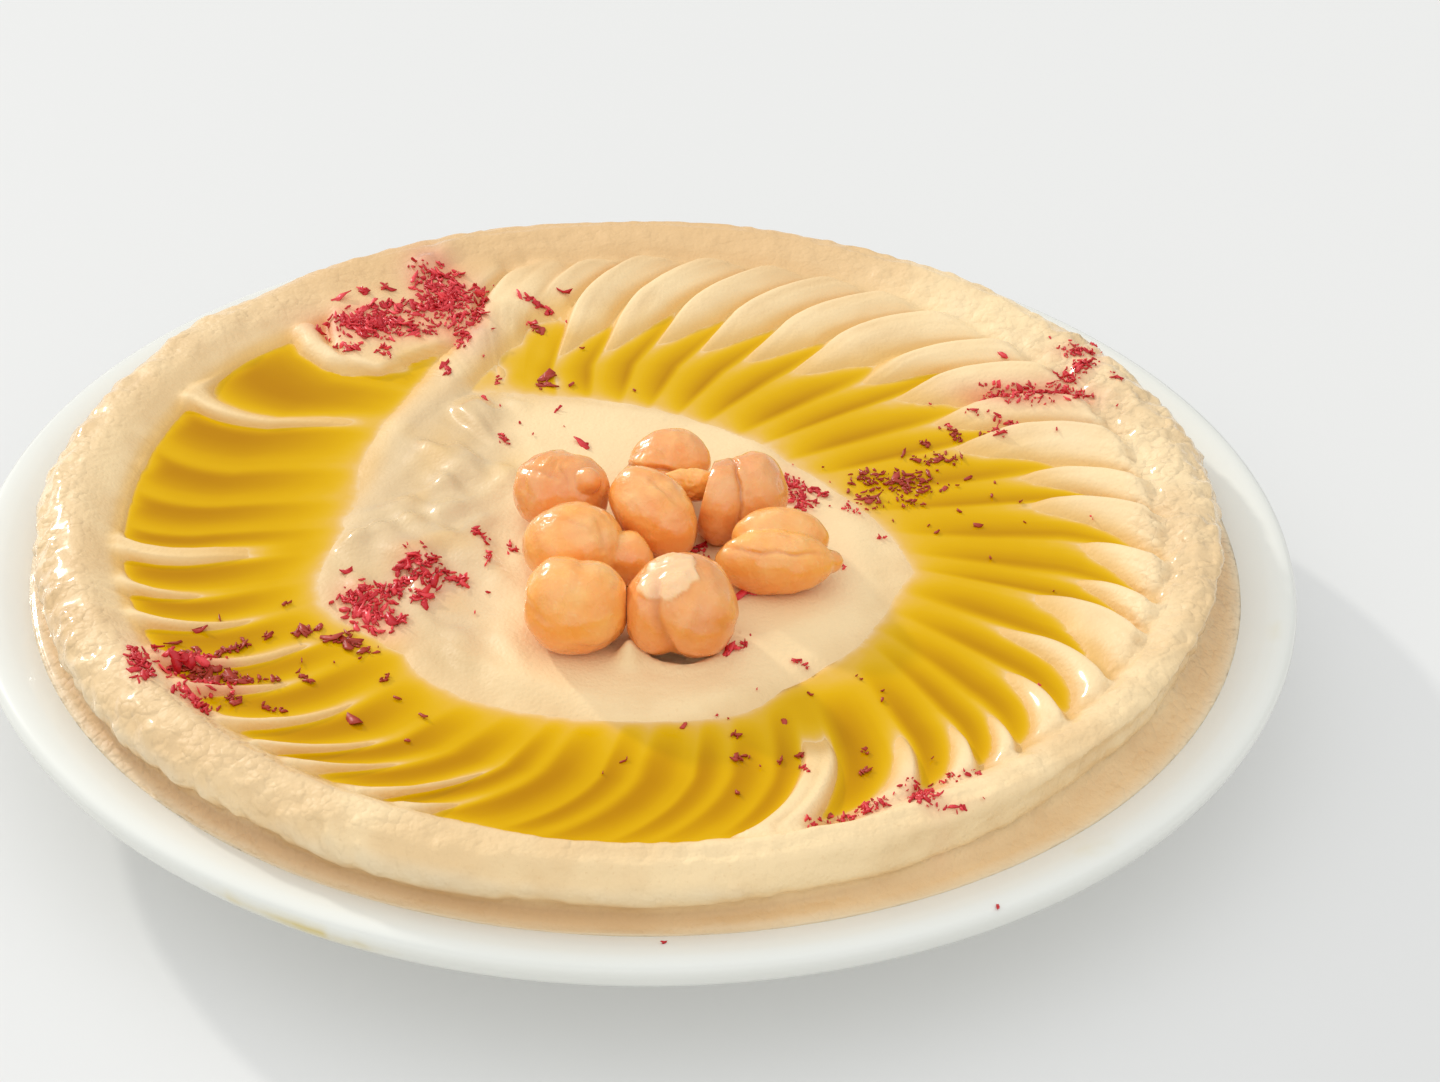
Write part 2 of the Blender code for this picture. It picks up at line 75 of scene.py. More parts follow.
def look_from_front():
    """Camera matrix: its three axes are turned by yaw, pitch and roll from straight at the rim's middle."""
    place = Vector((0, -math.cos(CAMERA_RISE), math.sin(CAMERA_RISE))) * CAMERA_DISTANCE
    forward = -place.normalized()
    right = Vector((1, 0, 0))
    up = right.cross(forward)
    turn = Matrix.Rotation(CAMERA_YAW, 3, up)
    forward = turn @ forward
    right = turn @ right
    turn = Matrix.Rotation(CAMERA_PITCH, 3, right)
    forward = turn @ forward
    up = turn @ up
    turn = Matrix.Rotation(CAMERA_ROLL, 3, forward)
    right = turn @ right
    up = turn @ up
    matrix = Matrix((right, up, -forward)).transposed().to_4x4()
    matrix.translation = place + Vector((0, 0, RIM_TOP * MM))
    return matrix


camera_data = bpy.data.cameras.new("camera")
camera_data.lens = 85
camera_data.sensor_width = 36
camera_data.clip_start = 0.01
camera = bpy.data.objects.new("camera", camera_data)
camera.matrix_world = look_from_front()
bpy.context.scene.collection.objects.link(camera)
bpy.context.scene.camera = camera
bpy.context.scene.view_settings.view_transform = "Standard"
print("camera at", [round(c, 3) for c in camera.location])

# %% [markdown]
# ## Light
# The plate stands in a bright white room. The sky of the room is brightest overhead, and one low lamp
# behind the plate on the left makes the ridges stand out and throws the long pale shadow. The angle of
# the sun lamp sets how soft the edge of that shadow is.

# %% Light
SUN_TOWARDS = Vector((-0.62, 0.78, 0.43))
sun_data = bpy.data.lights.new("low_lamp", "SUN")
sun_data.energy = 1.4
sun_data.angle = math.radians(3.5)
sun_data.color = (1.0, 0.97, 0.92)
sun = bpy.data.objects.new("low_lamp", sun_data)
sun.rotation_mode = "QUATERNION"
sun.rotation_quaternion = SUN_TOWARDS.to_track_quat("Z", "Y")
bpy.context.scene.collection.objects.link(sun)

# %% [markdown]
# ## Nodes as sums
# Materials are graphs of nodes. To keep them readable, a Wire wraps a socket, and a sum written with
# + - * adds the Math node for it. Everything else comes from Finish.node, which takes the node's type,
# its settings and its sockets.

# %% Node helpers


class Wire:
    """One output of a node. Python's operators on it add Math nodes."""

    def __init__(self, finish, socket):
        self.finish = finish
        self.socket = socket

    def sum(self, operation, first, second):
        return self.finish.node("ShaderNodeMath", {"operation": operation}, {0: first, 1: second})

    def __add__(self, other):
        return self.sum("ADD", self, other)

    def __sub__(self, other):
        return self.sum("SUBTRACT", self, other)

    def __rsub__(self, other):
        return self.sum("SUBTRACT", other, self)

    def __mul__(self, other):
        return self.sum("MULTIPLY", self, other)

    def __pow__(self, other):
        return self.sum("POWER", self, other)

    __radd__ = __add__
    __rmul__ = __mul__


class Finish:
    """A material, or the world, with one method that adds nodes."""

    def __init__(self, owner):
        owner.use_nodes = True
        self.owner = owner
        self.tree = owner.node_tree
        self.tree.nodes.clear()

    def node(self, kind, settings=None, sockets=None, out=0):
        made = self.tree.nodes.new(kind)
        for name, value in (settings or {}).items():
            if name == "stops":
                ramp = made.color_ramp.elements
                while len(ramp) < len(value):
                    ramp.new(0.5)
                for element, (place, colour) in zip(ramp, value):
                    element.position = place
                    element.color = (*colour, 1) if len(colour) == 3 else colour
            else:
                setattr(made, name, value)
        for name, value in (sockets or {}).items():
            if isinstance(value, Wire):
                self.tree.links.new(value.socket, made.inputs[name])
            else:
                made.inputs[name].default_value = value
        return Wire(self, made.outputs[out]) if made.outputs else made

    def noise(self, size_mm, detail=2.0, roughness=0.5):
        """Cloudy pattern from 0 to 1, with blotches about size_mm across."""
        place = self.node("ShaderNodeTexCoord", out=3)
        scale = 1 / (size_mm * MM)
        sockets = {"Vector": place, "Scale": scale, "Detail": detail, "Roughness": roughness}
        return self.node("ShaderNodeTexNoise", {"noise_dimensions": "3D"}, sockets)

    def domes(self, size_mm):
        """Rounded beads about size_mm across, packed against each other: 1 on top of each, less between."""
        place = self.node("ShaderNodeTexCoord", out=3)
        apart = self.node("ShaderNodeTexVoronoi", {}, {"Vector": place, "Scale": 1 / (size_mm * MM)})
        return 1 - apart * apart

    def value(self, name):
        """A number stored at each point of the mesh."""
        return self.node("ShaderNodeAttribute", {"attribute_name": name}, out=2)

    def between(self, x, low, high, start=0.0, end=1.0):
        """x from low..high to start..end, held at both ends, in a smooth step."""
        sockets = {0: x, 1: low, 2: high, 3: start, 4: end}
        return self.node("ShaderNodeMapRange", {"interpolation_type": "SMOOTHSTEP"}, sockets)

    def mix(self, share, first, second):
        sockets = {0: share, 6: first, 7: second}
        return self.node("ShaderNodeMix", {"data_type": "RGBA"}, sockets, out=2)

    def bump(self, height, depth_mm, normal=None):
        sockets = {"Strength": 1.0, "Distance": depth_mm * MM, "Height": height}
        if normal is not None:
            sockets["Normal"] = normal
        return self.node("ShaderNodeBump", {}, sockets)

    def skin(self, sockets):
        """Ends the graph in a Principled shader with these sockets."""
        surface = self.node("ShaderNodeBsdfPrincipled", {}, sockets)
        self.node("ShaderNodeOutputMaterial", {}, {"Surface": surface})
        return self.owner


def finish(name):
    return Finish(bpy.data.materials.new(name))


def colour(red, green, blue):
    """Linear colour from the three 0-255 numbers of a paint chart."""
    parts = np.array((red, green, blue)) / 255
    linear = np.where(parts <= 0.04045, parts / 12.92, ((parts + 0.055) / 1.055) ** 2.4)
    return (*(float(part) for part in linear), 1.0)


room = Finish(bpy.data.worlds.new("room"))
bpy.context.scene.world = room.owner
BRIGHT_SIDE = (-0.12, -0.3, 0.94)
way = room.node("ShaderNodeTexCoord", out=0)
towards = room.node("ShaderNodeVectorMath", {"operation": "DOT_PRODUCT"}, {0: way, 1: BRIGHT_SIDE}, out=1)
glow = room.between(towards, 0.0, 0.8, 0.48, 1.16)
sky = room.node("ShaderNodeBackground", {}, {"Color": (0.97, 0.985, 1.0, 1), "Strength": glow})
room.node("ShaderNodeOutputWorld", {}, {"Surface": sky})

# %% [markdown]
# ## Meshes from grids
# Every food surface here is a grid of points worked out with whole numpy arrays. A shell grid is closed
# by a point at each end, as a globe is at its poles. A ring grid closes on itself both ways, as a tyre does.

# %% Mesh helpers


def smooth_step(x, low, high):
    t = np.clip((x - low) / (high - low), 0, 1)
    return t * t * (3 - 2 * t)


def smooth_max(a, b, k):
    """Larger of two heights, with the corner where they cross rounded over about k."""
    return 0.5 * (a + b + np.sqrt((a - b) ** 2 + k * k))


def quads(rows, columns, wrap_rows):
    """Corner numbers of the squares of a grid whose columns close on themselves."""
    i = np.arange(rows if wrap_rows else rows - 1)[:, None]
    j = np.arange(columns)[None, :]
    following = (i + 1) % rows
    right = (j + 1) % columns
    corners = (i * columns + j, following * columns + j, following * columns + right, i * columns + right)
    return np.stack([np.broadcast_to(c, (len(i), columns)) for c in corners], -1).reshape(-1, 4)


def piece(name, points, faces, material, values=None):
    """An object from points in millimetres, with a number for each point under each name in values."""
    mesh = bpy.data.meshes.new(name)
    mesh.from_pydata((points * MM).tolist(), [], faces)
    mesh.polygons.foreach_set("use_smooth", [True] * len(mesh.polygons))
    for label, numbers in (values or {}).items():
        layer = mesh.attributes.new(label, "FLOAT", "POINT")
        layer.data.foreach_set("value", np.asarray(numbers, np.float32))
    mesh.materials.append(material)
    mesh.update()
    made = bpy.data.objects.new(name, mesh)
    bpy.context.scene.collection.objects.link(made)
    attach(made, "root")
    print(f"{name}: {len(mesh.vertices)} points, {len(mesh.polygons)} faces")
    return made


def shell(name, grid, first, last, material, values=None):
    """Closed piece from a grid of rows, with a point before the first row and one after the last."""
    rows, columns = grid.shape[:2]
    points = np.concatenate([grid.reshape(-1, 3), [first, last]])
    j = np.arange(columns)
    following = (j + 1) % columns
    start = np.stack([np.full(columns, rows * columns), j, following], 1)
    base = (rows - 1) * columns
    end = np.stack([np.full(columns, rows * columns + 1), base + following, base + j], 1)
    faces = quads(rows, columns, False).tolist() + start.tolist() + end.tolist()
    flat = {label: np.concatenate([v.ravel(), v[0, :1], v[-1, :1]]) for label, v in (values or {}).items()}
    return piece(name, points, faces, material, flat)


def lumps(points, size, seed):
    """Smooth lumps from -1 to 1: random numbers on a cubic lattice, blended by smooth steps between."""
    cell = np.floor(points / size).astype(np.int64)
    t = points / size - cell
    t = t * t * (3 - 2 * t)
    total = np.zeros(points.shape[:-1])
    for corner in itertools.product((0, 1), repeat=3):
        k = cell + np.array(corner)
        mixed = (k[..., 0] * 73856093) ^ (k[..., 1] * 19349663) ^ (k[..., 2] * 83492791) ^ (seed * 40503)
        mixed = (mixed ^ (mixed >> 13)) * 1274126177
        share = np.where(corner, t, 1 - t).prod(-1)
        total += share * (((mixed ^ (mixed >> 16)) & 0xFFFF) / 32767.5 - 1)
    return total


def rough_lumps(points, size, seed, octaves=3):
    """Lumps with smaller lumps on them, each half the size and half the height of the last."""
    layers = [lumps(points, size / 2**n, seed + n) / 2**n for n in range(octaves)]
    return sum(layers) / 1.75


def facing(grid):
    """Outward unit vectors of a shell grid, from the cross product of its two directions."""
    along = np.gradient(grid, axis=0)
    around = np.roll(grid, -1, 1) - np.roll(grid, 1, 1)
    normal = np.cross(along, around)
    return normal / np.maximum(np.linalg.norm(normal, axis=-1, keepdims=True), 1e-9)

# %% [markdown]
# ## The spread's form
# The spoon's strokes are a saw-tooth wave that runs round the plate: each ridge climbs gently to a sharp
# crest and then drops steeply into a furrow. The tables hold where each crest lies and how it leans, and
# `height` turns them into the height of the hummus over any point. They are the CAD part's own tables.

# %% Tables of the spread
TROUGH_Y = -3.75
ROLL_Y = -1.0
MIDDLE = 57.0
# Each ridge of the trough: where its crest crosses the MIDDLE ring, in degrees counterclockwise from +X,
# the radius at which the crest comes up out of the oil (over 72: it never does) and, for a broad ridge,
# how many degrees wide its flat top is
RIDGES = (
    (6.5, 54), (13.4, 55), (24.4, 49), (32.2, 50), (41.5, 50), (48.6, 50), (59, 46), (67.5, 46),
    (75.5, 47), (83.4, 48), (91.6, 46), (99.8, 46), (106, 58), (113.5, 56), (121.8, 78), (130.2, 78),
    (139.5, 78), (155.8, 47.5), (168.2, 78), (177, 78), (184.2, 78), (188.7, 50, 2.2), (199, 60),
    (206.4, 56), (215.3, 52), (221.5, 58), (230, 55), (239.2, 60), (246, 62), (253.3, 59), (257.8, 66),
    (265.2, 78), (269.7, 78), (276.7, 78), (281.3, 78), (287, 78), (292, 46, 2.8), (305, 58), (311.7, 60),
    (317, 62), (324.6, 58), (332.7, 53), (342.8, 55), (348.4, 60), (356.6, 60),
)
# How the ridges lean, by angle: degrees per mm outside the middle ring, then inside it, and how they curl
# near the island, in degrees per square mm
LEAN = (
    (0, 0.08, -0.05, 0), (20, 0.16, 0, 0), (40, 0.24, 0.05, 0.007), (60, 0.30, 0.12, 0.010),
    (80, 0.38, 0.33, 0.009), (100, 0.41, 0.40, 0.008), (105, 0.42, 0.42, 0.006), (125, 0.24, 0.10, 0),
    (138, 0.10, -0.45, 0), (155, -0.35, -0.70, 0), (170, -0.10, -0.36, 0), (188, -0.15, 0, 0),
    (206, 0.08, 0, 0), (230, 0.20, 0.10, 0), (245, 0.65, 0.33, 0), (265, 0.42, 0.22, 0),
    (290, 0.45, 0.33, 0), (312, 0.12, 0.30, 0), (330, 0.07, 0.13, 0), (345, 0.08, 0.05, 0),
)
# By angle from the trough's centre: the inner edge of the oil (the middle island's shore) and the foot of
# the bank outside it. Then, by ridge angle, the radius at which the furrows' floor comes up out of the oil
SHORE = (
    (7, 30.5), (20, 28.3), (38, 25.8), (55, 26.4), (73, 27.3), (90, 29.8), (100, 32), (106, 33.8),
    (114, 35), (122, 38), (130, 42), (140, 42), (150, 41.3), (165, 38.8), (175, 38.3), (185, 39.8),
    (195, 43.8), (207, 46.2), (214, 45.2), (221, 42.2), (227, 41), (233, 44.8), (242, 46.3), (270, 45),
    (290, 45.3), (301, 44.2), (311, 42), (322, 38.8), (334, 37.3), (343, 38.2), (356, 34),
)
BANK = (
    (0, 68.5), (40, 69), (80, 69), (105, 68), (125, 68), (145, 70.5), (180, 69.2), (255, 69.3), (263, 71),
    (274, 70.6), (278, 69.6), (283, 70.8), (291, 70.8), (298, 68.5), (320, 69.3), (350, 69.3),
)
LIMIT = (
    (0, 68), (7, 67), (14, 61), (24, 57), (33, 55), (40, 57), (44, 63), (49, 54), (60, 56), (76, 57),
    (86, 57), (94, 53), (104, 56), (113, 54), (120, 54), (139, 56), (142, 71), (290, 71), (300, 68),
    (333, 69), (337, 62), (343, 64), (345, 69),
)
# By angle: depth of the furrows below the oil, how far out they are deepest, as a share of the way from
# the shore to the limit, and how suddenly they come up again (1: evenly, more: all at the end)
DEPTH = (
    (0, 4.0, 0.42, 2.6), (30, 4.4, 0.38, 1.8), (60, 4.9, 0.34, 1.6), (90, 4.6, 0.34, 1.6),
    (102, 2.9, 0.34, 1.6), (107, 0.9, 0.34, 1.6), (113, 0.4, 0.4, 1.6), (120, 0.35, 0.5, 1.6),
    (125, 0.9, 0.5, 2), (136, 1.8, 0.5, 3), (141, 3.6, 0.55, 4), (148, 5.2, 0.74, 6), (170, 5.0, 0.74, 6),
    (200, 4.8, 0.7, 5), (215, 3.8, 0.62, 5), (225, 4.4, 0.6, 4), (262, 5.0, 0.52, 5), (290, 4.4, 0.5, 4),
    (320, 4.4, 0.5, 3), (340, 4.1, 0.46, 2.4),
)
# A ridge drops steeply to its furrow and climbs to the next crest. By angle: the share of the way that the
# furrow's bottom lies at, the power of the climb (under 1 it bulges, over 1 it is hollow), how far the
# furrow's floor rises above the oil on its way out, and how far the crests do
CLIMB = (
    (0, 0.24, 0.9, 0.3, 2.7), (25, 0.24, 0.8, 0.6, 3.1), (100, 0.24, 0.8, 0.6, 3.1),
    (112, 0.3, 1.0, 0.6, 2.4), (140, 0.3, 1.8, 0, 1.6), (156, 0.3, 2.4, 0, 1.6), (188, 0.3, 2.4, 0, 1.3),
    (253, 0.3, 2.4, 0, 1.3), (290, 0.3, 2.0, 0, 1.8), (320, 0.28, 1.4, 0, 2.1),
    (340, 0.26, 1.0, 0.3, 2.5),
)
# A ridge's climbing face is at most this many degrees wide
FACE = 8.5
# Raised bands of hummus that cross the trough: (x, y, height) along the band, and its half width
BANDS = (
    (((-14.5, 64, 7.3), (-20.5, 52, 6.9), (-24.5, 41, 6.5), (-28.5, 31, 6.2), (-33, 20, 5.9),
      (-36, 8, 5.5)), 4.0),
    (((-49.6, 45, 6.8), (-47.8, 40.5, 6.7), (-44.6, 37, 6.5), (-40.3, 35.7, 6.1), (-35, 36, 5.2)), 2.2),
)
# Roll round the hummus, from its crest outwards and down to the plate: (radius, height)
ROLL = (
    (76.2, 8.0), (79.3, 7.0), (81.1, 4.6), (81.1, 2.6), (79.9, 1.0), (81.7, -0.3), (82.3, -0.8),
)
# By angle: how far the roll's bulge is tucked in, while its foot stays
TUCK = ((0, 2.2), (14, 0), (275, 0), (298, 2.0), (325, 3.2), (350, 3.4))

# %% Height of the spread


def by_angle(table, angle, column=1):
    """The table's value at each angle, in straight steps round the circle."""
    rows = np.array(table, float)
    return np.interp(angle, rows[:, 0], rows[:, column], period=360)


def bend(middle, r):
    """Degrees that a ridge has turned, at radius r, from where it crosses the middle ring."""
    out = np.clip(r - MIDDLE, 0, 13)
    inwards = np.clip(MIDDLE - r, 0, 15)
    curl = by_angle(LEAN, middle, 3) * np.clip(MIDDLE - r, 0, 30) ** 2
    return by_angle(LEAN, middle, 2) * inwards + curl - by_angle(LEAN, middle, 1) * out - 0.027 * out * out


def plate_top(x, y):
    """Height of the plate's upper face: flat in the middle, then a straight slope up to the rim."""
    return np.interp(np.hypot(x, y), (48.0, 81.0, 85.6), (-9.0, -1.7, -0.25))


def ring_radius(angle, radius, centre_y):
    """Distance from the trough's centre, along each angle, to a circle round (0, centre_y)."""
    shift = centre_y - TROUGH_Y
    a = np.radians(angle)
    return shift * np.sin(a) + np.sqrt(radius**2 - (shift * np.cos(a)) ** 2)


def tuck(angle, z):
    """How far the roll is drawn in at height z: most half way down, nothing at its crest and its foot."""
    return by_angle(TUCK, angle) * smooth_step(z, -0.4, 1.5) * smooth_step(-z, -8.0, -4.5)


def band_height(x, y, band):
    """Height of a raised band: its spine's height, less a parabola across it."""
    spine, half_width = band
    spine = np.array(spine, float)
    best = np.full(np.shape(x), -50.0)
    for a, b in zip(spine[:-1], spine[1:]):
        along = b[:2] - a[:2]
        t = np.clip(((x - a[0]) * along[0] + (y - a[1]) * along[1]) / (along @ along), 0, 1)
        off = np.hypot(x - a[0] - t * along[0], y - a[1] - t * along[1])
        best = np.maximum(best, a[2] + t * (b[2] - a[2]) - 1.6 * (off / half_width) ** 2)
    return best


def height(x, y):
    """Height of the hummus's upper face over (x, y), out to the crest of its roll."""
    r = np.hypot(x, y - TROUGH_Y)
    angle = np.degrees(np.arctan2(y - TROUGH_Y, x)) % 360
    middle = angle
    for _ in range(9):
        middle = (angle - bend(middle, r)) % 360
    shore, bank = by_angle(SHORE, angle), by_angle(BANK, angle)
    limit = np.minimum(by_angle(LIMIT, middle), bank)
    past_bank = 1 - smooth_step(r, bank, bank + 5.5)
    # Furrows: soft at the island's shore, then deepest, then up out of the oil at the limit
    t = np.clip((r - shore) / (limit - shore), 0, 1)
    deepest = by_angle(DEPTH, middle, 2)
    late = np.clip((t - deepest) / (1 - deepest), 0, 1)
    bowl = np.sin(np.pi / 2 * np.clip(t / deepest, 0, 1)) ** 1.4 * (1 - late ** by_angle(DEPTH, middle, 3))
    rise = by_angle(CLIMB, middle, 3) * smooth_step(r, limit - 1, np.maximum(bank, limit + 1)) * past_bank
    floor = OIL_LEVEL - by_angle(DEPTH, middle) * bowl + rise
    # Where the point lies between two crests: 0 at one crest's flat top, 1 at the next crest
    crest_angle, comes_up, flat = np.array([(*ridge, 0)[:3] for ridge in RIDGES], float).T
    number = np.searchsorted(crest_angle, middle, side="right") - 1
    before, after = number % len(RIDGES), (number + 1) % len(RIDGES)
    width = (crest_angle[after] - crest_angle[before]) % 360 - flat[before]
    phase = np.clip(((middle - crest_angle[before]) % 360 - flat[before]) / width, 0, 1)
    furrow = by_angle(CLIMB, middle)
    foot = np.maximum(furrow, 1 - FACE / width)
    drop = 0.5 + 0.5 * np.cos(np.pi * np.clip(phase / furrow, 0, 1))
    climb = np.sin(np.pi / 2 * np.clip((phase - foot) / (1 - foot), 0, 1)) ** by_angle(CLIMB, middle, 2)
    # Crests: under the oil near the island, then out of it beyond each ridge's own radius
    share_out = np.clip((r - shore) / (bank - shore), 0, 1)
    surface = floor
    for share, ridge in ((drop, before), (climb, after)):
        start = np.maximum((comes_up[ridge] - shore) / (bank - shore), 0.02)
        under = -1.5 * np.minimum(start, 1) * np.sin(np.pi * np.clip(share_out / start, 0, 1))
        emerged = np.clip((share_out - start) / np.maximum(1 - start, 0.15), 0, 1)
        over = by_angle(CLIMB, middle, 4) * emerged**0.75
        surface = surface + share * (np.maximum(OIL_LEVEL + under + over * past_bank, floor) - floor)
    # Bank: from the outer edge of the oil up to the crest of the roll
    crest = ring_radius(angle, ROLL[0][0], ROLL_Y)
    up = np.clip((r - bank) / (crest - bank), 0, 1)
    outer_slope = OIL_LEVEL + (ROLL[0][1] - OIL_LEVEL) * np.sin(np.pi / 2 * up) ** 1.15
    surface = smooth_max(surface, np.where(r > bank, outer_slope, OIL_LEVEL - 1.8 * (bank - r)), 0.3)
    # Terrace between the two raised bands
    terrace = smooth_step(middle, 112, 117) * (1 - smooth_step(middle, 136, 141)) * smooth_step(r, 50, 54)
    surface = np.maximum(surface, OIL_LEVEL - 6 + terrace * (7.1 + 0.05 * (r - 50)))
    for band in BANDS:
        surface = smooth_max(surface, band_height(x, y, band), 0.5)
    # Island: a low cushion inside the shore
    island = OIL_LEVEL + 1.2 * (1 - np.exp(-np.maximum(shore - r, 0) / 6.0))
    cushion = smooth_max(island, surface - 0.6 * smooth_step(shore - r, 0, 6), 0.1)
    return np.where(r < shore, cushion, surface)


print("hummus is", round(float(height(np.array(0.0), np.array(0.0))), 2), "mm above the rim in the middle")

# %% [markdown]
# ## Laying the grid over the spread
# The grid's columns follow the ridges, so that each sharp crest has a column of points right on it. The
# rows run from the middle, over the trough and up the bank, and then down the outside of the roll, where
# they follow a smooth curve through the roll's profile.

# %% Grid of the hummus
ISLAND_ROWS = 40
TROUGH_ROWS = 46
BANK_ROWS = 12
ROLL_ROWS = 24
# Rows over which the foot thins out to nothing on the plate, and its height over the plate there
THIN_ROWS = 6
CLEARANCE = 0.05
POINTS_PER_DEGREE = 1.62


def ridge_columns():
    """Middle angles of the columns: evenly spaced in each ridge, with one on its crest and more near it."""
    crests = np.array([ridge[0] for ridge in RIDGES])
    columns = []
    for crest, width in zip(crests, (np.roll(crests, -1) - crests) % 360):
        t = np.arange(round(width * POINTS_PER_DEGREE) + 4) / (round(width * POINTS_PER_DEGREE) + 4)
        columns.append(crest + width * (t - 0.06 * np.sin(2 * np.pi * t)))
    return np.concatenate(columns)


def trough_rows(middle):
    """Plan positions of the rows from the middle of the plate to the roll's crest, as x, y and radius."""
    rows = []
    shares = [("island", s) for s in np.linspace(0, 1, ISLAND_ROWS, endpoint=False)[1:] ** 0.65]
    shares += [("trough", s) for s in np.linspace(0, 1, TROUGH_ROWS, endpoint=False)]
    shares += [("bank", s) for s in np.linspace(0, 1, BANK_ROWS)]
    for part, share in shares:
        angle = middle
        for _ in range(6):
            ends = {
                "island": (0 * angle, by_angle(SHORE, angle)),
                "trough": (by_angle(SHORE, angle), by_angle(BANK, angle)),
                "bank": (by_angle(BANK, angle), ring_radius(angle, ROLL[0][0], ROLL_Y)),
            }[part]
            r = ends[0] * (1 - share) + ends[1] * share
            angle = middle + bend(middle, r)
        a = np.radians(angle)
        rows.append(np.stack([r * np.cos(a), TROUGH_Y + r * np.sin(a)], 1))
    return np.array(rows)


def smooth_curve(points, count):
    """Evenly spaced points on a Catmull-Rom curve: each stretch leaves along the line of its neighbours."""
    p = np.array(points, float)
    p = np.concatenate([[2 * p[0] - p[1]], p, [2 * p[-1] - p[-2]]])
    t = np.linspace(0, 1, 40, endpoint=False)[:, None]
    parts = []
    for a, b, c, d in zip(p[:-3], p[1:-2], p[2:-1], p[3:]):
        parts.append(b + 0.5 * t * (c - a + t * (2 * a - 5 * b + 4 * c - d + t * (3 * (b - c) + d - a))))
    line = np.concatenate(parts + [p[-2:-1]])
    run = np.concatenate([[0], np.cumsum(np.linalg.norm(np.diff(line, axis=0), axis=1))])
    even = np.linspace(0, run[-1], count)
    return np.stack([np.interp(even, run, line[:, k]) for k in range(line.shape[1])], 1)


MIDDLES = ridge_columns()
plan = trough_rows(MIDDLES)
top = np.dstack([plan, height(plan[..., 0], plan[..., 1])])
profile = smooth_curve(ROLL, ROLL_ROWS + 1)[1:]
outer_angle = MIDDLES + bend(MIDDLES, MIDDLE + 13.0)
roll_radius = ring_radius(outer_angle, profile[:, :1] - tuck(outer_angle, profile[:, 1:]), ROLL_Y)
roll_x = roll_radius * np.cos(np.radians(outer_angle))
roll_y = TROUGH_Y + roll_radius * np.sin(np.radians(outer_angle))
thinning = np.minimum(np.arange(ROLL_ROWS)[::-1, None] / THIN_ROWS, 1) ** 0.8
resting = plate_top(roll_x, roll_y) + CLEARANCE
roll_z = resting + np.maximum(profile[:, 1:] - resting, 0) * thinning
spread = np.concatenate([top, np.dstack([roll_x, roll_y, roll_z])])
print("grid of", spread.shape[0], "rows and", spread.shape[1], "columns")

# %% [markdown]
# ## Marks of the spoon and lumps
# Real hummus is never smooth. The outside of the roll is lumpy and grainy, mostly on the left and the
# right, the far slope has fine lines where the spoon ran round, and the middle swells gently. Each is a
# pattern of lumps, stretched along the stroke, which moves the surface along its own outward direction.

# %% Lumps
LUMPY = (
    (0, 1.0), (30, 0.9), (45, 0.5), (80, 0.25), (120, 0.3), (150, 0.6), (180, 0.75), (215, 0.85), (235, 0.7),
    (255, 0.3), (300, 0.25), (330, 0.5), (350, 0.9),
)
# By angle: the radius from which the roll's roughness starts
ROUGH_FROM = (
    (0, 67), (38, 68), (55, 70), (140, 70), (155, 74), (215, 74), (235, 71), (320, 69.5), (340, 68),
)
# Small humps and dents: (x, y, half length, half width, heading in degrees, height)
HUMPS = (
    (-33.0, 62.5, 2.6, 1.6, 60, 1.3), (-30.0, 66.0, 6.0, 1.6, 70, 0.7), (-67.0, 8.5, 2.2, 1.3, 80, 0.9),
    (-24.0, 42.0, 3.0, 2.0, 70, 0.8), (-22.5, 50.0, 3.0, 2.0, 60, 0.5), (-27.0, 31.0, 3.0, 1.6, 65, 0.4),
    (-28.0, 2.5, 3.4, 1.5, 40, 0.8), (-22.0, -7.0, 3.4, 1.6, 55, 0.9), (-19.0, 3.5, 3.6, 1.6, 60, 0.9),
    (-24.5, -2.5, 4.4, 1.7, 48, 0.7), (-25.0, 7.0, 4.0, 1.6, 62, 0.6), (-31.0, -6.5, 4.0, 1.6, 30, 0.7),
    (-37.0, -10.0, 3.6, 1.4, 35, 0.8), (-34.0, -2.5, 4.5, 1.6, 25, 0.7), (-25.5, 14.0, 6.0, 1.8, 66, 0.6),
    (-31.5, 9.0, 6.0, 1.7, 62, 0.6), (-20.5, 13.0, 4.0, 1.7, 60, 0.5), (-27.5, -12.0, 5.0, 2.0, 30, 0.6),
    (-18.0, -22.0, 2.0, 5.0, 20, -0.6), (-30.0, -34.0, 2.5, 6.0, 35, 0.6), (-1.0, -37.3, 1.5, 1.5, 0, 3.0),
    (21.4, -47.5, 6.2, 4.5, 99, -1.6), (-47.0, -11.9, 5.5, 4.5, 13, -0.7),
    (20.0, -30.0, 9.0, 3.0, 35, 0.6), (29.0, -12.0, 3.0, 9.0, 5, 0.6), (12.0, -44.0, 9.0, 2.5, 15, 0.6),
    (-12.0, -43.0, 8.0, 2.5, -20, 0.7), (-16.0, -36.0, 3.0, 7.0, 10, 0.6), (24.0, -38.0, 8.0, 2.0, 42, -0.4),
    (-5.0, 24.0, 9.0, 2.5, -12, 0.5), (-20.0, 35.0, 2.6, 1.3, 95, 0.5), (-14.0, 40.0, 3.4, 1.4, 95, 0.6),
    (-18.5, 45.0, 3.0, 1.3, 95, 0.5), (-12.5, 33.0, 2.4, 1.5, 95, 0.5),
)
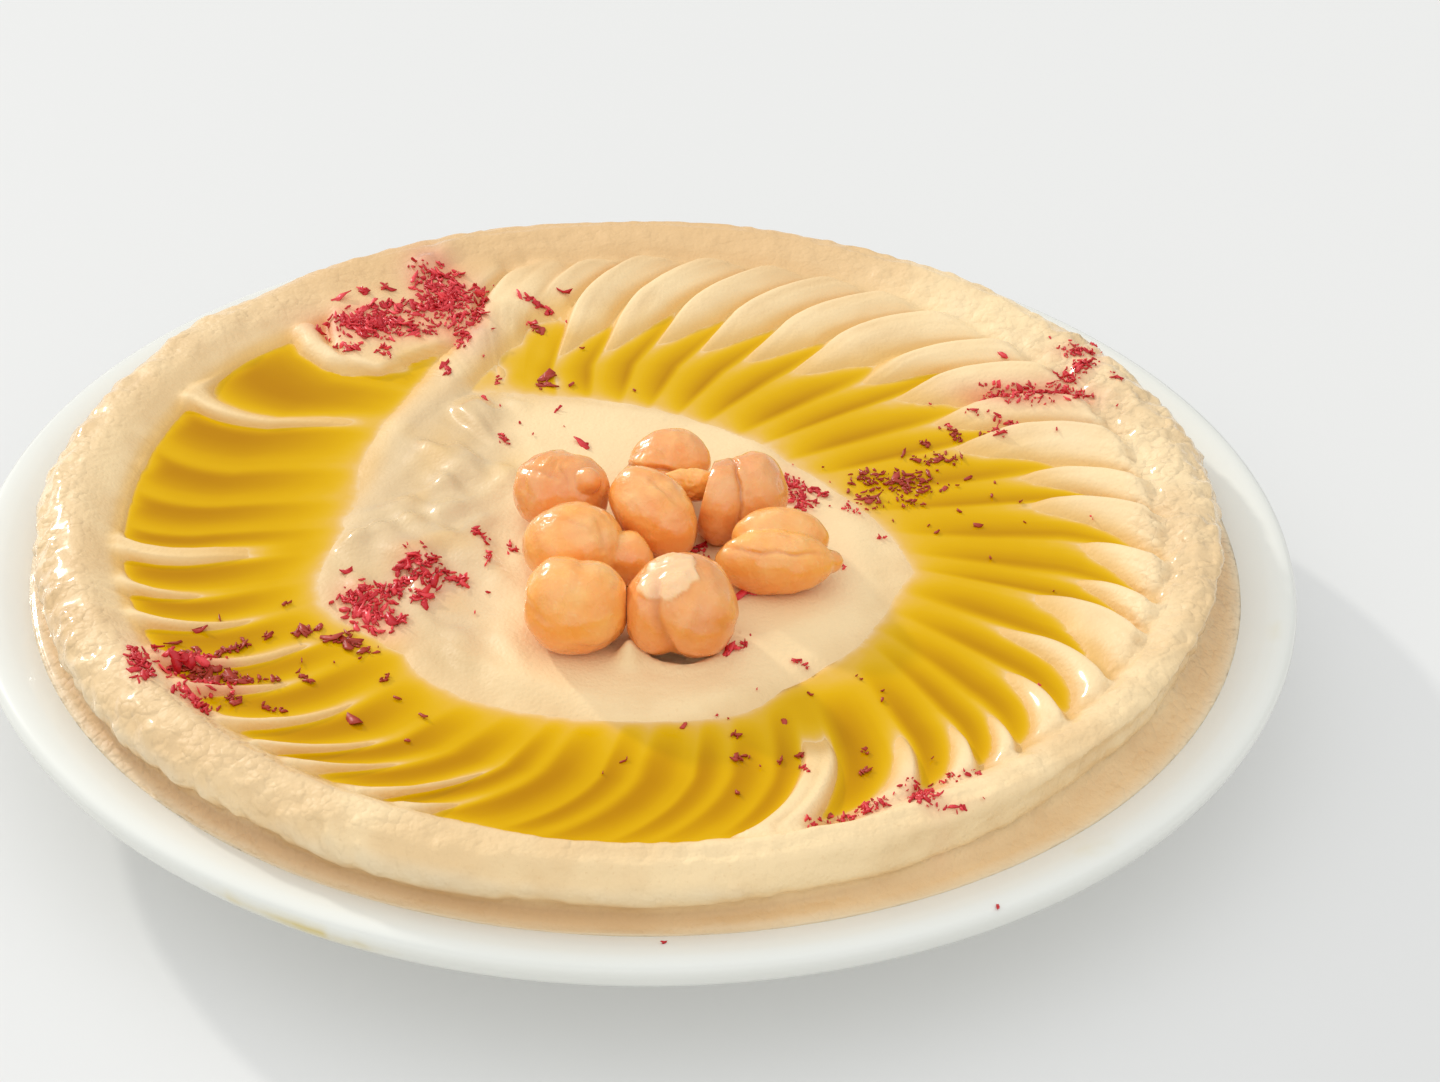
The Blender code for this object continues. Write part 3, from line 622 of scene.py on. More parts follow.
# Middle of the hollow that one chickpea sits in. In front of the chickpea the hollow has this depth and
# ends at this radius, and its raised lip has this radius and height
HOLLOW = (5.5, -32.7)
HOLLOW_DEPTH = 1.9
HOLLOW_RADIUS = 5.7
LIP_RADIUS = 6.3
LIP_HEIGHT = 0.7


def hump(x, y, row):
    """One hump: its height times a bell curve whose contours are ellipses."""
    centre_x, centre_y, along, across, heading, rise = row
    turn = math.radians(heading)
    u = ((x - centre_x) * math.cos(turn) + (y - centre_y) * math.sin(turn)) / along
    v = ((y - centre_y) * math.cos(turn) - (x - centre_x) * math.sin(turn)) / across
    return rise * np.exp(-u * u - v * v)


def marks(grid, middle):
    """How far each point moves outwards, in millimetres."""
    x, y, z = grid[..., 0], grid[..., 1], grid[..., 2]
    a = np.arctan2(y - ROLL_Y, x)
    angle = np.degrees(a) % 360
    r = np.hypot(x, y - TROUGH_Y)
    shore = by_angle(SHORE, angle)
    # Roll: clots where it is lumpy, fine lines round it where it isn't, and a slow waviness everywhere
    lumpy = by_angle(LUMPY, angle)
    rough_from = by_angle(ROUGH_FROM, angle)
    outside = smooth_step(r, rough_from, rough_from + 5)
    low = smooth_step(-z, -1.5, 0.5) * smooth_step(r, 74, 78)
    around = np.stack([7 * np.cos(a), 7 * np.sin(a), (np.hypot(x, y - ROLL_Y) - z) / 1.6], -1)
    clots = smooth_step(rough_lumps(grid, 1.8, 11, 1), -0.35, 0.5)
    moved = outside * (1 - 0.85 * low) * lumpy * (0.7 * clots + 0.4 * lumps(grid, 1.5, 21) - 0.35)
    moved = moved + outside * 0.32 * (1.1 - lumpy) * lumps(around, 1.0, 31)
    moved = moved + outside * (1 - low) * 0.5 * lumps(grid, 11.0, 33)
    # Trough: faint lines along the spoon's strokes
    trough = smooth_step(r, shore, 52) * (1 - outside)
    m = np.radians(np.broadcast_to(middle, x.shape))
    strokes = np.stack([75 * np.cos(m), 75 * np.sin(m), r / 14], -1)
    moved = moved + trough * (0.12 * lumps(strokes, 1.0, 41) + 0.10 * rough_lumps(grid, 3.0, 43))
    # Island: slow swells, and on its left lumps that are slanted as the spoon left them
    island = 1 - smooth_step(r, 25, 44)
    smeared = (1 - smooth_step(r, shore - 6, shore - 1)) * smooth_step(-x, 12, 22)
    slanted = np.stack([x * 0.86 + y * 0.5, (y * 0.86 - x * 0.5) * 0.4, z], -1)
    whipped = 1.5 * smooth_step(rough_lumps(slanted, 4.2, 55, 2), -0.3, 0.4) - 0.5
    moved = moved + island * 0.32 * rough_lumps(grid, 10.0, 51) + smeared * whipped
    # Hollow in front of one chickpea
    apart = np.hypot(x - HOLLOW[0], y - HOLLOW[1])
    ahead = smooth_step((HOLLOW[1] - y + 0.3 * (HOLLOW[0] - x)) / (apart + 0.1), 0.1, 0.7)
    lip = LIP_HEIGHT * np.exp(-((apart - LIP_RADIUS) / 0.8) ** 2)
    dip = HOLLOW_DEPTH * (1 - smooth_step(apart, HOLLOW_RADIUS - 0.8, HOLLOW_RADIUS))
    moved = moved + ahead * (lip - dip)
    return moved + 0.03 * rough_lumps(grid, 1.0, 61)


raised = sum(hump(spread[..., 0], spread[..., 1], row) for row in HUMPS)
spread = spread + facing(spread) * marks(spread, MIDDLES)[..., None]
spread[..., 2] += raised
spread[..., 2] = np.maximum(spread[..., 2], plate_top(spread[..., 0], spread[..., 1]) + CLEARANCE)
print("lowest point of the roll's edge", round(float(spread[-1, :, 2].min()), 2), "mm")

# %% [markdown]
# ## Where the sumac lies
# Sumac falls from the fingers in streaks, thick in the middle and thin at the ends, with single flakes
# between. Each streak is a line with a width and a number of flakes. The hummus needs these first, because
# wet sumac stains it pink.

# %% Streaks of sumac
# (x, y) at one end, (x, y) at the other, half width in millimetres, how many flakes
SUMAC_STREAKS = (
    (-31.5, 60, -27.5, 48, 3.4, 270), (-44, 46, -36.5, 45.5, 3.6, 210), (-40, 50.5, -32, 50, 1.8, 44),
    (-43.5, 40, -41.5, 38.5, 1.6, 16), (-37.6, 39.5, -37, 37, 1.0, 12), (-35, 44, -30.5, 43, 1.8, 24),
    (-26.5, 46, -26, 40, 1.4, 30), (-24.5, 58, -24, 47, 1.1, 30), (-42.2, 55, -41.5, 53.5, 0.7, 8),
    (-38.6, 56.5, -38.4, 55, 0.5, 6), (-19, 54.8, -13.5, 52.5, 0.7, 16), (-16.5, 49, -14.5, 46.3, 0.8, 7),
    (-28.3, 35, -27.8, 30, 0.5, 5), (-14.3, 31, -13, 34.5, 0.6, 9), (-19.6, 16.5, -18.4, 13.5, 0.7, 9),
    (-8.6, 14.3, -7.2, 14, 0.6, 5), (-20.8, 34.2, -20.6, 32.6, 0.6, 4), (-22, -9, -19.6, -12.5, 0.7, 12),
    (-17.4, -10.5, -16.6, -13.8, 0.5, 6), (-20, -14.8, -19.6, -17, 0.4, 6), (-29.5, -16, -27, -21, 3.0, 70),
    (-31, -20, -34, -24, 1.8, 44), (-25, -18, -22.5, -20.5, 0.9, 16), (-37, -23.5, -33, -29.5, 2.6, 130),
    (-29, -23.5, -28, -25, 1.2, 16), (-31, -28, -29.5, -29.5, 0.8, 8), (-44, -31.5, -41, -30, 0.9, 18),
    (-39, -32, -33, -36, 1.3, 26),
    (-47.8, -31.8, -47, -32.2, 0.4, 3), (-53.5, -36.5, -50, -34, 0.6, 14), (-42.4, -40.5, -41, -42, 0.7, 7),
    (-32.5, -41.3, -31, -40.7, 0.5, 5), (-58.5, -37.5, -52, -43, 3.2, 150), (-63.5, -39, -61.5, -45, 1.2, 48),
    (-57, -45.5, -53.5, -49.5, 1.5, 44), (-51, -41.8, -45, -41.4, 0.6, 16), (-51, -45.5, -50, -46.6, 0.8, 7),
    (-47.5, -47, -44, -48.2, 0.6, 8), (20.8, 7, 22.5, -0.5, 1.5, 80), (23.5, 4.5, 26, 2.5, 0.8, 12),
    (28, 0.4, 29.8, -1.6, 0.8, 12), (29.5, 8, 34, 7, 2.2, 30), (35.5, 8, 40, 6.5, 2.6, 60),
    (29.5, 3.5, 33.5, 1, 2.0, 22), (35.5, 5, 37.5, 1.5, 1.6, 14), (39.5, 12.5, 43.5, 13.5, 1.8, 30),
    (40.2, 17.8, 40.6, 16.2, 0.6, 6), (43.6, 21.5, 45.5, 18.5, 1.0, 20), (45.8, 25.2, 48, 24.4, 0.5, 5),
    (50, 23.5, 53.8, 21.5, 1.1, 16), (48.5, 20, 51.5, 18.7, 0.7, 12), (50, 29.5, 60, 28, 2.6, 165),
    (59.5, 30.5, 64, 29, 1.4, 44), (61.5, 33.5, 65.5, 36, 1.8, 56), (61.5, 40, 66, 40, 1.6, 56),
    (66.5, 46, 66.8, 43, 0.6, 12), (68, 32.5, 69.5, 31, 0.5, 6), (61.5, 26.5, 62.5, 25.8, 0.6, 6),
    (20.6, -70.5, 22.5, -69, 0.6, 8), (23.5, -69, 31, -66.8, 1.2, 44), (33.5, -63, 35.5, -68, 1.6, 56),
    (36.5, -62.5, 41.5, -61, 1.1, 16), (36.5, -69.5, 41.5, -67, 0.7, 8), (11.5, -51, 12.8, -52, 0.6, 5),
    (12.2, -56.8, 14, -56, 0.8, 10), (15.8, -57.8, 18.4, -56.8, 0.5, 4), (20.2, -55.5, 20.8, -61, 0.5, 8),
    (27.6, -54.8, 28.8, -55.2, 0.4, 3), (27.8, -58.6, 28.6, -59.4, 0.5, 4), (20, -36.8, 22, -37.4, 0.3, 7),
    (11.5, -35, 14, -33.8, 0.7, 12), (7.8, -11, 9.4, -16.5, 0.9, 14), (-1.4, -15, -0.2, -17, 0.7, 8),
    (13, -22.9, 16.5, -21.9, 0.4, 8), (32.2, -7.6, 33.4, -7.3, 0.3, 6), (26.8, -15.4, 27.4, -16.3, 0.2, 3),
)
# Flakes in a streak for each one in that table
CROWDING = 1.25
# Single flakes: (x, y)
SUMAC_SINGLES = (
    (-45, 52.5), (-22.3, 57.8), (-12, 56.7), (-11, 49.2), (-8.7, 42.2), (-22, 44.5), (-23, 38), (-10, 32),
    (-1, 30.5), (-22.5, 26.5), (-20, 25), (-12, 23), (-11.8, 23.6), (-10.7, 19), (-17, 19.5), (-15, 16),
    (-39, -17.5), (-38.4, -17.8), (-19.7, -22.6), (-21, -27), (-40, -24.8), (-46, -25), (-45.3, -24.6),
    (-50.5, -33), (-42.5, -37.7), (-38.5, -37.8), (-56, -31), (-54, -28.5), (-35, -50), (-30, -45.2),
    (-26.5, -49), (-28, -54), (-1.5, -57.5), (-1, -57), (6, -50), (10, -48), (11.5, -48.5), (18.5, -48.8),
    (12.5, -63.5), (-4, -60), (36.5, -56.2), (31, -44), (31.2, -42), (28, -39), (28.6, -39.6), (22, -43),
    (15, -43.2), (14.8, -32), (50.8, -41.2), (51, -42.3), (55, -19), (47.2, -11.6), (25.5, 10.6), (21.5, 11),
    (26.4, 7), (26, 0), (34.6, -2.6), (39.4, -3.6), (40.4, -5.4), (44, 6.5), (45.6, 8.4), (43.8, 0),
    (49.3, 7.5), (52.5, 2.5), (52.6, -2.4), (46, -3.6), (48.6, 3.8), (37, 14.4), (38, 13.2), (51, 17.7),
    (58.7, 18), (56, 25), (60.2, 43.6), (68.2, 25.4), (53, 39), (41.6, 28), (61.4, -1.7), (61.9, -2.2),
    (43.3, -78.0), (41.5, 10.3), (3.6, -85.2),
)


def streak_hump(row):
    """The hump whose ellipse covers one streak."""
    x_start, y_start, x_end, y_end, half_width, _ = row
    long_way = math.hypot(x_end - x_start, y_end - y_start)
    heading = math.degrees(math.atan2(y_end - y_start, x_end - x_start))
    middle_x, middle_y = (x_start + x_end) / 2, (y_start + y_end) / 2
    return middle_x, middle_y, 0.5 * long_way + 0.8 * half_width, 0.9 * half_width + 0.2, heading, 1.0


in_streaks = sum(round(row[-1] * CROWDING) for row in SUMAC_STREAKS)
print("flakes of sumac:", in_streaks + len(SUMAC_SINGLES), "of them in streaks:", in_streaks)

# %% [markdown]
# ## Finish of the hummus
# Hummus is a cream paste of ground chickpea and sesame: matt where it is dry, and shiny where a film of
# oil wets it. The colour varies a little in soft clouds, with fine darker specks of chickpea skin.

# %% Hummus
CREAM = colour(233, 199, 147)
PALE_CREAM = colour(247, 218, 168)
TAN_AND_SHADE = colour(225, 185, 131)
# Painted shade for the crease under the roll
CREASE_SHADE = colour(176, 132, 84)
THIN_EDGE = colour(232, 214, 180)
OILED = colour(228, 181, 100)
VEILED = colour(218, 188, 140)
SUMAC_STAIN = colour(226, 118, 98)


def hummus_finish():
    made = finish("hummus")
    clouds = made.noise(14.0, 3.0)
    specks = made.between(made.noise(0.55, 2.0), 0.62, 0.72)
    base = made.mix(made.between(clouds, 0.35, 0.65), CREAM, PALE_CREAM)
    base = made.mix(specks * 0.25, base, TAN_AND_SHADE)
    # Painted shade in the hollows between ridges, painted light on the crests and over the island
    base = made.mix(made.value("hollow") * 0.75, base, TAN_AND_SHADE)
    base = made.mix(made.value("crest") * 0.8, base, PALE_CREAM)
    # Darker foot, far slope and left of the roll: on the foot partly its own oily tone, partly painted shade
    # under the roll
    base = made.mix(made.value("tan"), base, TAN_AND_SHADE)
    # Painted shade in the crease under the roll
    base = made.mix(made.value("crease"), base, CREASE_SHADE)
    base = made.mix(made.value("veil"), base, VEILED)
    base = made.mix(made.value("film"), base, OILED)
    base = made.mix(made.value("thin"), base, THIN_EDGE)
    base = made.mix(made.value("stain"), base, SUMAC_STAIN)
    wet = made.value("wet")
    gloss = 0.46 + made.noise(1.2, 2.0) * 0.12
    grain = made.bump(made.noise(0.5, 3.0), 0.08)
    patchy = made.between(made.noise(3.0, 2.0), 0.35, 0.6, 0.25, 1.0)
    beads = made.bump(made.domes(1.2) * patchy * made.value("beaded"), 0.45, grain)
    coarse = made.bump(made.noise(2.0, 2.0), 0.12, beads)
    sockets = {"Base Color": base, "Roughness": gloss, "Normal": coarse, "Specular IOR Level": 0.28}
    return made.skin({**sockets, "Coat Weight": wet, "Coat Roughness": 0.13})


# By angle: how strong the painted shade in the crease between the roll and its foot is
CREASED = ((0, 0), (195, 0), (215, 1), (262, 1), (285, 0.2), (305, 0))
# Where a film of oil makes the surface shine: humps as above, from 0 to 1 at the middle
GLOSSY = (
    (-33.0, 62.5, 7.0, 3.0, 65, 1.0), (-24.0, 42.0, 6.0, 3.0, 70, 1.0), (-28.0, 32.0, 8.0, 3.0, 60, 0.6),
    (46.0, 51.0, 4.0, 2.0, 60, 0.9), (54.0, 42.0, 4.0, 2.5, 60, 0.9), (62.0, 20.0, 8.0, 4.0, 80, 0.8),
    (-45.0, 36.5, 8.0, 2.0, -25, 0.7), (55.0, -42.0, 8.0, 3.0, 50, 0.4),
)
# Where oil has soaked in: humps as above, from 0 to 1 at the middle
SOAKED = (
    (-27.5, 12.0, 7.0, 3.0, 70, 0.6), (-18.5, 7.0, 4.5, 2.0, 70, 0.5), (-31.0, 38.2, 5.0, 1.8, 28, 1.2),
    (-21.5, 32.0, 5.5, 1.6, 100, 0.7), (-16.5, 36.0, 9.0, 1.8, 95, 0.6), (-10.0, 38.0, 8.0, 1.2, 97, 0.7),
    (-30.0, -14.0, 5.0, 2.0, 40, 0.5), (-25.0, 25.0, 7.0, 2.0, 60, 0.4), (-37.0, 8.0, 9.0, 1.6, 80, 0.5),
)


def hummus_values(grid):
    """The numbers that the finish reads: tan makes the foot, the far slope and the left of the roll darker,
    the foot partly by its own oily tone and partly by painted shade under the roll; crease is painted shade
    in the line between roll and foot, thin the foot's edge, film soaked with oil, wet shiny, beaded in small
    round lumps, veil under a thin veil of oil, stain pink under sumac, hollow painted shade where the surface
    lies lower than round it, crest painted light where it lies higher and over the island."""
    x, y, z = grid[..., 0], grid[..., 1], grid[..., 2]
    r = np.hypot(x, y - ROLL_Y)
    out = np.hypot(x, y - TROUGH_Y)
    angle = np.degrees(np.arctan2(y - ROLL_Y, x)) % 360
    shore, bank = by_angle(SHORE, angle), by_angle(BANK, angle)
    # Roll and its foot: the foot is darker, partly by its own oily tone and partly by painted shade under the
    # roll, most where the crease is
    creased = by_angle(CREASED, angle)
    foot = smooth_step(r, 75.5, 78.5) * smooth_step(-z, -1.6, 0.2) * (0.55 + 0.45 * creased)
    # Painted shade in the crease under the roll's bulge
    crease = np.exp(-(((z - 0.6) / 1.1) ** 2)) * smooth_step(r, 76.5, 78) * creased
    thin = smooth_step(r, ROLL[-1][0] - 1.8, ROLL[-1][0])
    far = smooth_step(angle, 50, 75) * (1 - smooth_step(angle, 120, 150)) * smooth_step(r, 60, 70)
    rough_from = by_angle(ROUGH_FROM, angle)
    beaded = smooth_step(r, rough_from - 2, rough_from + 3) * by_angle(LUMPY, angle)
    left = 0.5 * beaded * smooth_step(-x, 30, 60)
    # Oil in it and on it
    on_left = smooth_step(-x, 14, 24)
    oily = on_left * (1 - smooth_step(out, shore - 4, shore + 2))
    glossy = on_left * (1 - smooth_step(r, 36, 44)) + sum(hump(x, y, row) for row in GLOSSY)
    in_trough = smooth_step(out, shore - 1, shore + 4) * (1 - smooth_step(out, bank + 1, bank + 3))
    film = in_trough * (1 - smooth_step(z - OIL_LEVEL, 0.1, 2.0)) ** 1.3
    film = film + sum(hump(x, y, row) for row in SOAKED)
    film = film + oily * 0.35 * smooth_step(rough_lumps(grid, 6.0, 71, 2), 0, 0.5)
    # Ridges and furrows, by how far a point lies below its neighbours: painted shade in the furrows, painted
    # light on the ridges and over the island
    around = sum(np.roll(z, k, axis=1) for k in (-4, -3, -2, 2, 3, 4)) / 6
    sunk = in_trough * (around - z) / 0.35
    island = 1 - smooth_step(out, shore - 7, shore)
    stain = sum(row[-1] / 60 * hump(x, y, streak_hump(row)) for row in SUMAC_STREAKS)
    return {
        "tan": np.maximum(foot, 0.95 * far + left),
        "crease": 0.5 * crease,
        "thin": 0.8 * thin,
        "film": 0.85 * np.minimum(film, 1),
        "wet": np.minimum(beaded + glossy, 1),
        "beaded": beaded,
        "veil": 0.8 * oily,
        "stain": 0.45 * np.minimum(stain, 1),
        "hollow": np.clip(sunk, 0, 1),
        "crest": np.maximum(np.clip(-sunk, 0, 1), island * (1 - oily)),
    }


# The underside: eight rows just below the plate's surface, from under the foot's edge to the middle
under_radius = np.linspace(ROLL[-1][0] - CLEARANCE, 4.0, 8)[:, None]
under_x = under_radius * np.cos(np.radians(outer_angle))
under_y = ROLL_Y + under_radius * np.sin(np.radians(outer_angle))
under = np.dstack([under_x, under_y, plate_top(under_x, under_y) - CLEARANCE])
whole = np.concatenate([spread, under])
top_point = (0, TROUGH_Y, float(height(np.array(0.0), np.array(TROUGH_Y))))
lift = np.array((0, 0, RIM_TOP))
bottom_point = (0, ROLL_Y, -8.98)
ends = (np.array(top_point) + lift, np.array(bottom_point) + lift)
hummus = shell("hummus_spread", whole + lift, *ends, hummus_finish(), hummus_values(whole))
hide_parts("hummus")
ground = BVHTree.FromPolygons([tuple(v.co / MM) for v in hummus.data.vertices],
                              [tuple(p.vertices) for p in hummus.data.polygons])

# %% [markdown]
# ## Oil
# Olive oil is clear. Hummus is darker as soon as it is wetted, and oil takes more of the light for each
# millimetre of its depth, nearly all of the blue within the first. A flat sheet at the level of the oil
# meets the ridges exactly where the real oil does. Each point of the sheet holds the depth of oil under
# it, and a ramp turns that depth into the colour seen through it.

# %% Oil
# Share of red, green and blue: taken for each millimetre of oil, and left by hummus that is wetted
OIL_TAKES = np.array((0.098, 0.163, 4.2))
WETTED = np.array((0.95, 0.83, 0.72))
DEEPEST = 5.0


def oil_finish():
    made = finish("olive_oil")
    depth = made.value("depth")
    places = (0.0, 0.02, 0.05, 0.09, 0.14, 0.22, 0.35, 0.6, 1.0)
    wetted = [WETTED ** min(p / 0.03, 1) for p in places]
    stops = [(p, tuple(CREAM[:3] * w * np.exp(-OIL_TAKES * p * DEEPEST))) for p, w in zip(places, wetted)]
    uneven = depth + (made.noise(2.5, 3.0) - 0.5) * 0.25
    base = made.node("ShaderNodeValToRGB", {"stops": stops}, {"Fac": uneven * (1 / DEEPEST)})
    ripple = made.bump(made.noise(9.0, 1.0), 0.1)
    return made.skin({"Base Color": base, "Roughness": 0.08, "Normal": ripple, "Specular IOR Level": 0.06})


first = ISLAND_ROWS - 4
last = ISLAND_ROWS - 1 + TROUGH_ROWS + 2
bed = spread[first:last]
surface = bed.copy()
surface[..., 2] = OIL_LEVEL
bottom = bed.copy()
bottom[..., 2] = np.minimum(bed[..., 2] - 0.15, OIL_LEVEL - 0.3)
ring = np.concatenate([surface, bottom[::-1]])
depths = np.maximum(OIL_LEVEL - np.concatenate([bed[..., 2], bed[::-1, :, 2]]), 0)
oil = piece("olive_oil", ring.reshape(-1, 3) + lift, quads(*ring.shape[:2], True).tolist(), oil_finish(),
            {"depth": depths.ravel()})
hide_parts("oil_left", "oil_right", "oil_upper_left")

# %% [markdown]
# ## Chickpeas
# A boiled chickpea is two halves under a loose skin. Its form is the distance from its centre to the far
# side of a few overlapping ellipsoids, in every direction. Where two chickpeas press together, each is
# flat on its own side of one plane.
#
# Each entry is the centre, then the ellipsoids: their middle from that centre, their three half lengths
# and, where they don't stand straight, the tilt and the turn in degrees.

# %% Chickpeas
PEAS = {
    "chickpea_1": (
        (-7.8, -33.1, 11.4),
        ((0, 0, -0.6, 6.7, 6.4, 5.7), (-1.6, 0, 1.2, 5.0, 5.6, 5.1), (1.8, -0.4, 0.9, 4.8, 5.6, 5.1)),
    ),
    "chickpea_2": (
        (5.5, -32.7, 11.7),
        ((0.3, 0.4, 0, 6.5, 6.4, 6.3), (-2.8, -0.8, -0.6, 4.6, 5.6, 5.6), (1.7, -1.2, -0.7, 5.6, 6.0, 5.6)),
    ),
    "chickpea_3": (
        (18.0, -18.7, 10.5),
        ((-0.3, -1.9, -0.5, 7.8, 3.9, 4.5), (0.6, 2.4, 0.5, 6.4, 3.6, 4.4), (6.8, -0.8, -0.9, 1.9, 1.5, 1.6)),
    ),
    "chickpea_4": ((-7.6, -19.3, 11.2), ((-0.9, 0, 0, 6.8, 6.0, 5.8), (6.6, -0.8, -1.2, 3.6, 3.6, 3.7))),
    "chickpea_5": ((2.1, -12.4, 12.2), ((0, 0, 0, 7.0, 4.9, 4.8, 34, -42), (-1.6, 1.8, 1.0, 4.4, 4.4, 4.0))),
    "chickpea_6": (
        (13.3, -7.0, 11.3),
        ((-2.4, -1.1, -0.2, 4.0, 5.4, 5.8), (2.0, 0.6, 0.2, 4.5, 5.6, 5.6), (-0.2, -0.2, 0.3, 4.2, 5.2, 5.3)),
    ),
    "chickpea_7": (
        (-10.4, -6.0, 11.2),
        ((-1.0, 0, 0, 5.5, 5.6, 5.4), (1.6, 0, -0.3, 4.9, 5.2, 5.1), (3.6, -2.7, 3.5, 1.8, 1.8, 1.8)),
    ),
    "chickpea_8": ((3.3, 0.6, 10.6), ((0.8, 1.0, 0.8, 5.5, 4.6, 4.5), (-1.2, -2.0, -0.2, 4.5, 3.4, 4.5))),
    "chickpea_half": (
        (6.7, -5.7, 12.4),
        ((0, 0, 0, 4.3, 1.5, 2.1, 18, 14), (1.2, 0, 0, 2.8, 1.7, 2.3, 18, 14)),
    ),
}
# Two chickpeas further apart than this, in millimetres, don't touch
PEA_NEIGHBOURS = 18
# How deep a chickpea's underside is pressed into the hummus
PRESSED_IN = 0.25
# Folds of the skin: direction across the fold, the way to its middle, width and length in radians, depth
FOLDS = {
    "chickpea_1": (
        ((1, 0.2, 0.1), (0.1, 0.3, 1), 0.13, 0.5, 0.12), ((0.1, 0.1, 1), (0.3, -1, -0.35), 0.05, 0.5, 0.22),
        ((0.5, 0.2, 1), (-1, -0.6, 0.3), 0.10, 0.5, 0.18),
    ),
    "chickpea_2": (
        ((1, -0.25, 0.35), (-0.42, -1, 0.15), 0.09, 0.9, 0.6),
        ((0.3, 0.4, 1), (0.9, -0.6, -0.1), 0.12, 0.6, 0.25),
        ((0.9, 0.3, -0.5), (0.35, -1, 0.3), 0.16, 0.6, 0.22),
    ),
    "chickpea_3": (
        ((0.05, 0.5, 0.9), (-0.1, -1, 0.6), 0.045, 1.3, 0.35),
        ((1, 0.3, 0.2), (0.8, -0.5, 0.5), 0.07, 0.5, 0.2),
    ),
    "chickpea_4": (
        ((1, 0.3, 0.2), (0.55, -0.5, 0.7), 0.10, 0.6, 0.35), ((0.3, 1, 0.2), (0.0, -0.5, 1), 0.07, 0.5, 0.18),
        ((0.7, -0.4, 0.5), (0.3, -1, 0.2), 0.06, 0.45, 0.18),
    ),
    "chickpea_5": (
        ((0.6, 0.75, 0.1), (0.2, -0.3, 1), 0.09, 0.7, 0.22),
        ((0.4, -0.5, 0.8), (0.6, -0.8, 0.1), 0.07, 0.5, 0.2),
    ),
    "chickpea_6": (
        ((1, 0.1, 0.05), (-0.05, -0.7, 0.8), 0.055, 1.2, 0.6),
        ((0.4, 0.3, 1), (0.5, -0.5, 0.9), 0.07, 0.4, 0.25),
    ),
    "chickpea_7": (
        ((0.3, 0.6, 0.7), (-0.6, -0.4, 0.8), 0.08, 0.6, 0.3),
        ((0.8, 0.5, -0.2), (0.1, -0.6, 1), 0.09, 0.5, 0.25),
    ),
    "chickpea_8": (
        ((0.12, 0.55, 0.85), (-0.2, -0.9, 0.6), 0.055, 1.2, 0.8),
        ((0.3, 0.5, 0.8), (0.5, -0.4, 1), 0.08, 0.5, 0.25),
    ),
}
# Patches of wrinkled skin: the way to the middle, the direction along which it is squeezed, reach, height
WRINKLES = {
    "chickpea_2": (((-0.3, -0.2, 1), (1, 0.2, 0), 0.8, 0.22),),
    "chickpea_4": (((0.2, -0.6, 0.8), (1, 0.5, 0), 0.8, 0.16),),
    "chickpea_6": (((0.2, 0.2, 1), (0.4, 1, 0), 0.7, 0.2), ((0.6, -0.7, 0.2), (1, 0, 0.6), 0.6, 0.12)),
    "chickpea_7": (((-0.8, -0.3, 0.8), (0.3, 1, 0.5), 0.8, 0.45),),
    "chickpea_8": (((-0.4, -0.9, 0.3), (0.2, 0.3, 1), 0.8, 0.25),),
}
# How tanned or golden some of them are, from 0 to 1
TANNED = {"chickpea_2": 0.7, "chickpea_6": 0.9, "chickpea_7": 0.7, "chickpea_8": 0.3}
GOLDEN = {"chickpea_1": 0.25, "chickpea_3": 0.3, "chickpea_4": 0.15, "chickpea_half": 0.9}
# Loose skin that stands proud: the way to its middle and its reach
TORN = {"chickpea_2": ((-0.32, -0.25, 1), 0.62)}


def lobe_reach(way, lobe):
    """Distance from the centre to the far side of one ellipsoid, along each unit vector (a quadratic)."""
    centre, half = np.array(lobe[:3]), np.array(lobe[3:6])
    tilt, turn = (math.radians(k) for k in (lobe[6:] or (0, 0)))
    tilted = np.array([(math.cos(tilt), 0, math.sin(tilt)), (0, 1, 0), (-math.sin(tilt), 0, math.cos(tilt))])
    cosine, sine = math.cos(turn), math.sin(turn)
    turned_by = np.array([(cosine, -sine, 0), (sine, cosine, 0), (0, 0, 1)])
    axes = turned_by @ tilted
    w, c = (way @ axes) / half, (centre @ axes) / half
    a, b, d = (w * w).sum(-1), w @ c, c @ c - 1
    return (b + np.sqrt(np.maximum(b * b - a * d, 0))) / a * (b * b - a * d > 0)


def pea_reach(way, lobes):
    reach = lobe_reach(way, lobes[0])
    for lobe in lobes[1:]:
        reach = smooth_max(reach, lobe_reach(way, lobe), 0.35)
    return reach


def globe(rows, columns):
    """Unit vectors in rows of latitude from the top down, without the two poles."""
    polar = np.linspace(0, np.pi, rows + 2)[1:-1, None]
    turn = np.linspace(0, 2 * np.pi, columns, endpoint=False)[None, :]
    parts = (np.sin(polar) * np.cos(turn), np.sin(polar) * np.sin(turn), np.cos(polar) + 0 * turn)
    return np.stack(parts, -1)


def fold(way, row):
    """A crease: a dent along a great circle, deepest near one point, as a product of two bell curves."""
    across, near, width, length, depth = row
    n = np.array(across, float) / np.linalg.norm(across)
    towards = np.array(near, float) / np.linalg.norm(near)
    c = towards - n * (n @ towards) * 0.8
    c = c / np.linalg.norm(c)
    wobble = 0.06 * lumps(way * 6, 2.2, 301)
    off = np.arcsin(np.clip(way @ n - towards @ n, -1, 1)) + wobble
    away = np.arccos(np.clip(way @ c, -1, 1))
    return depth * np.exp(-((off / width) ** 2)) * np.exp(-((away / length) ** 4))


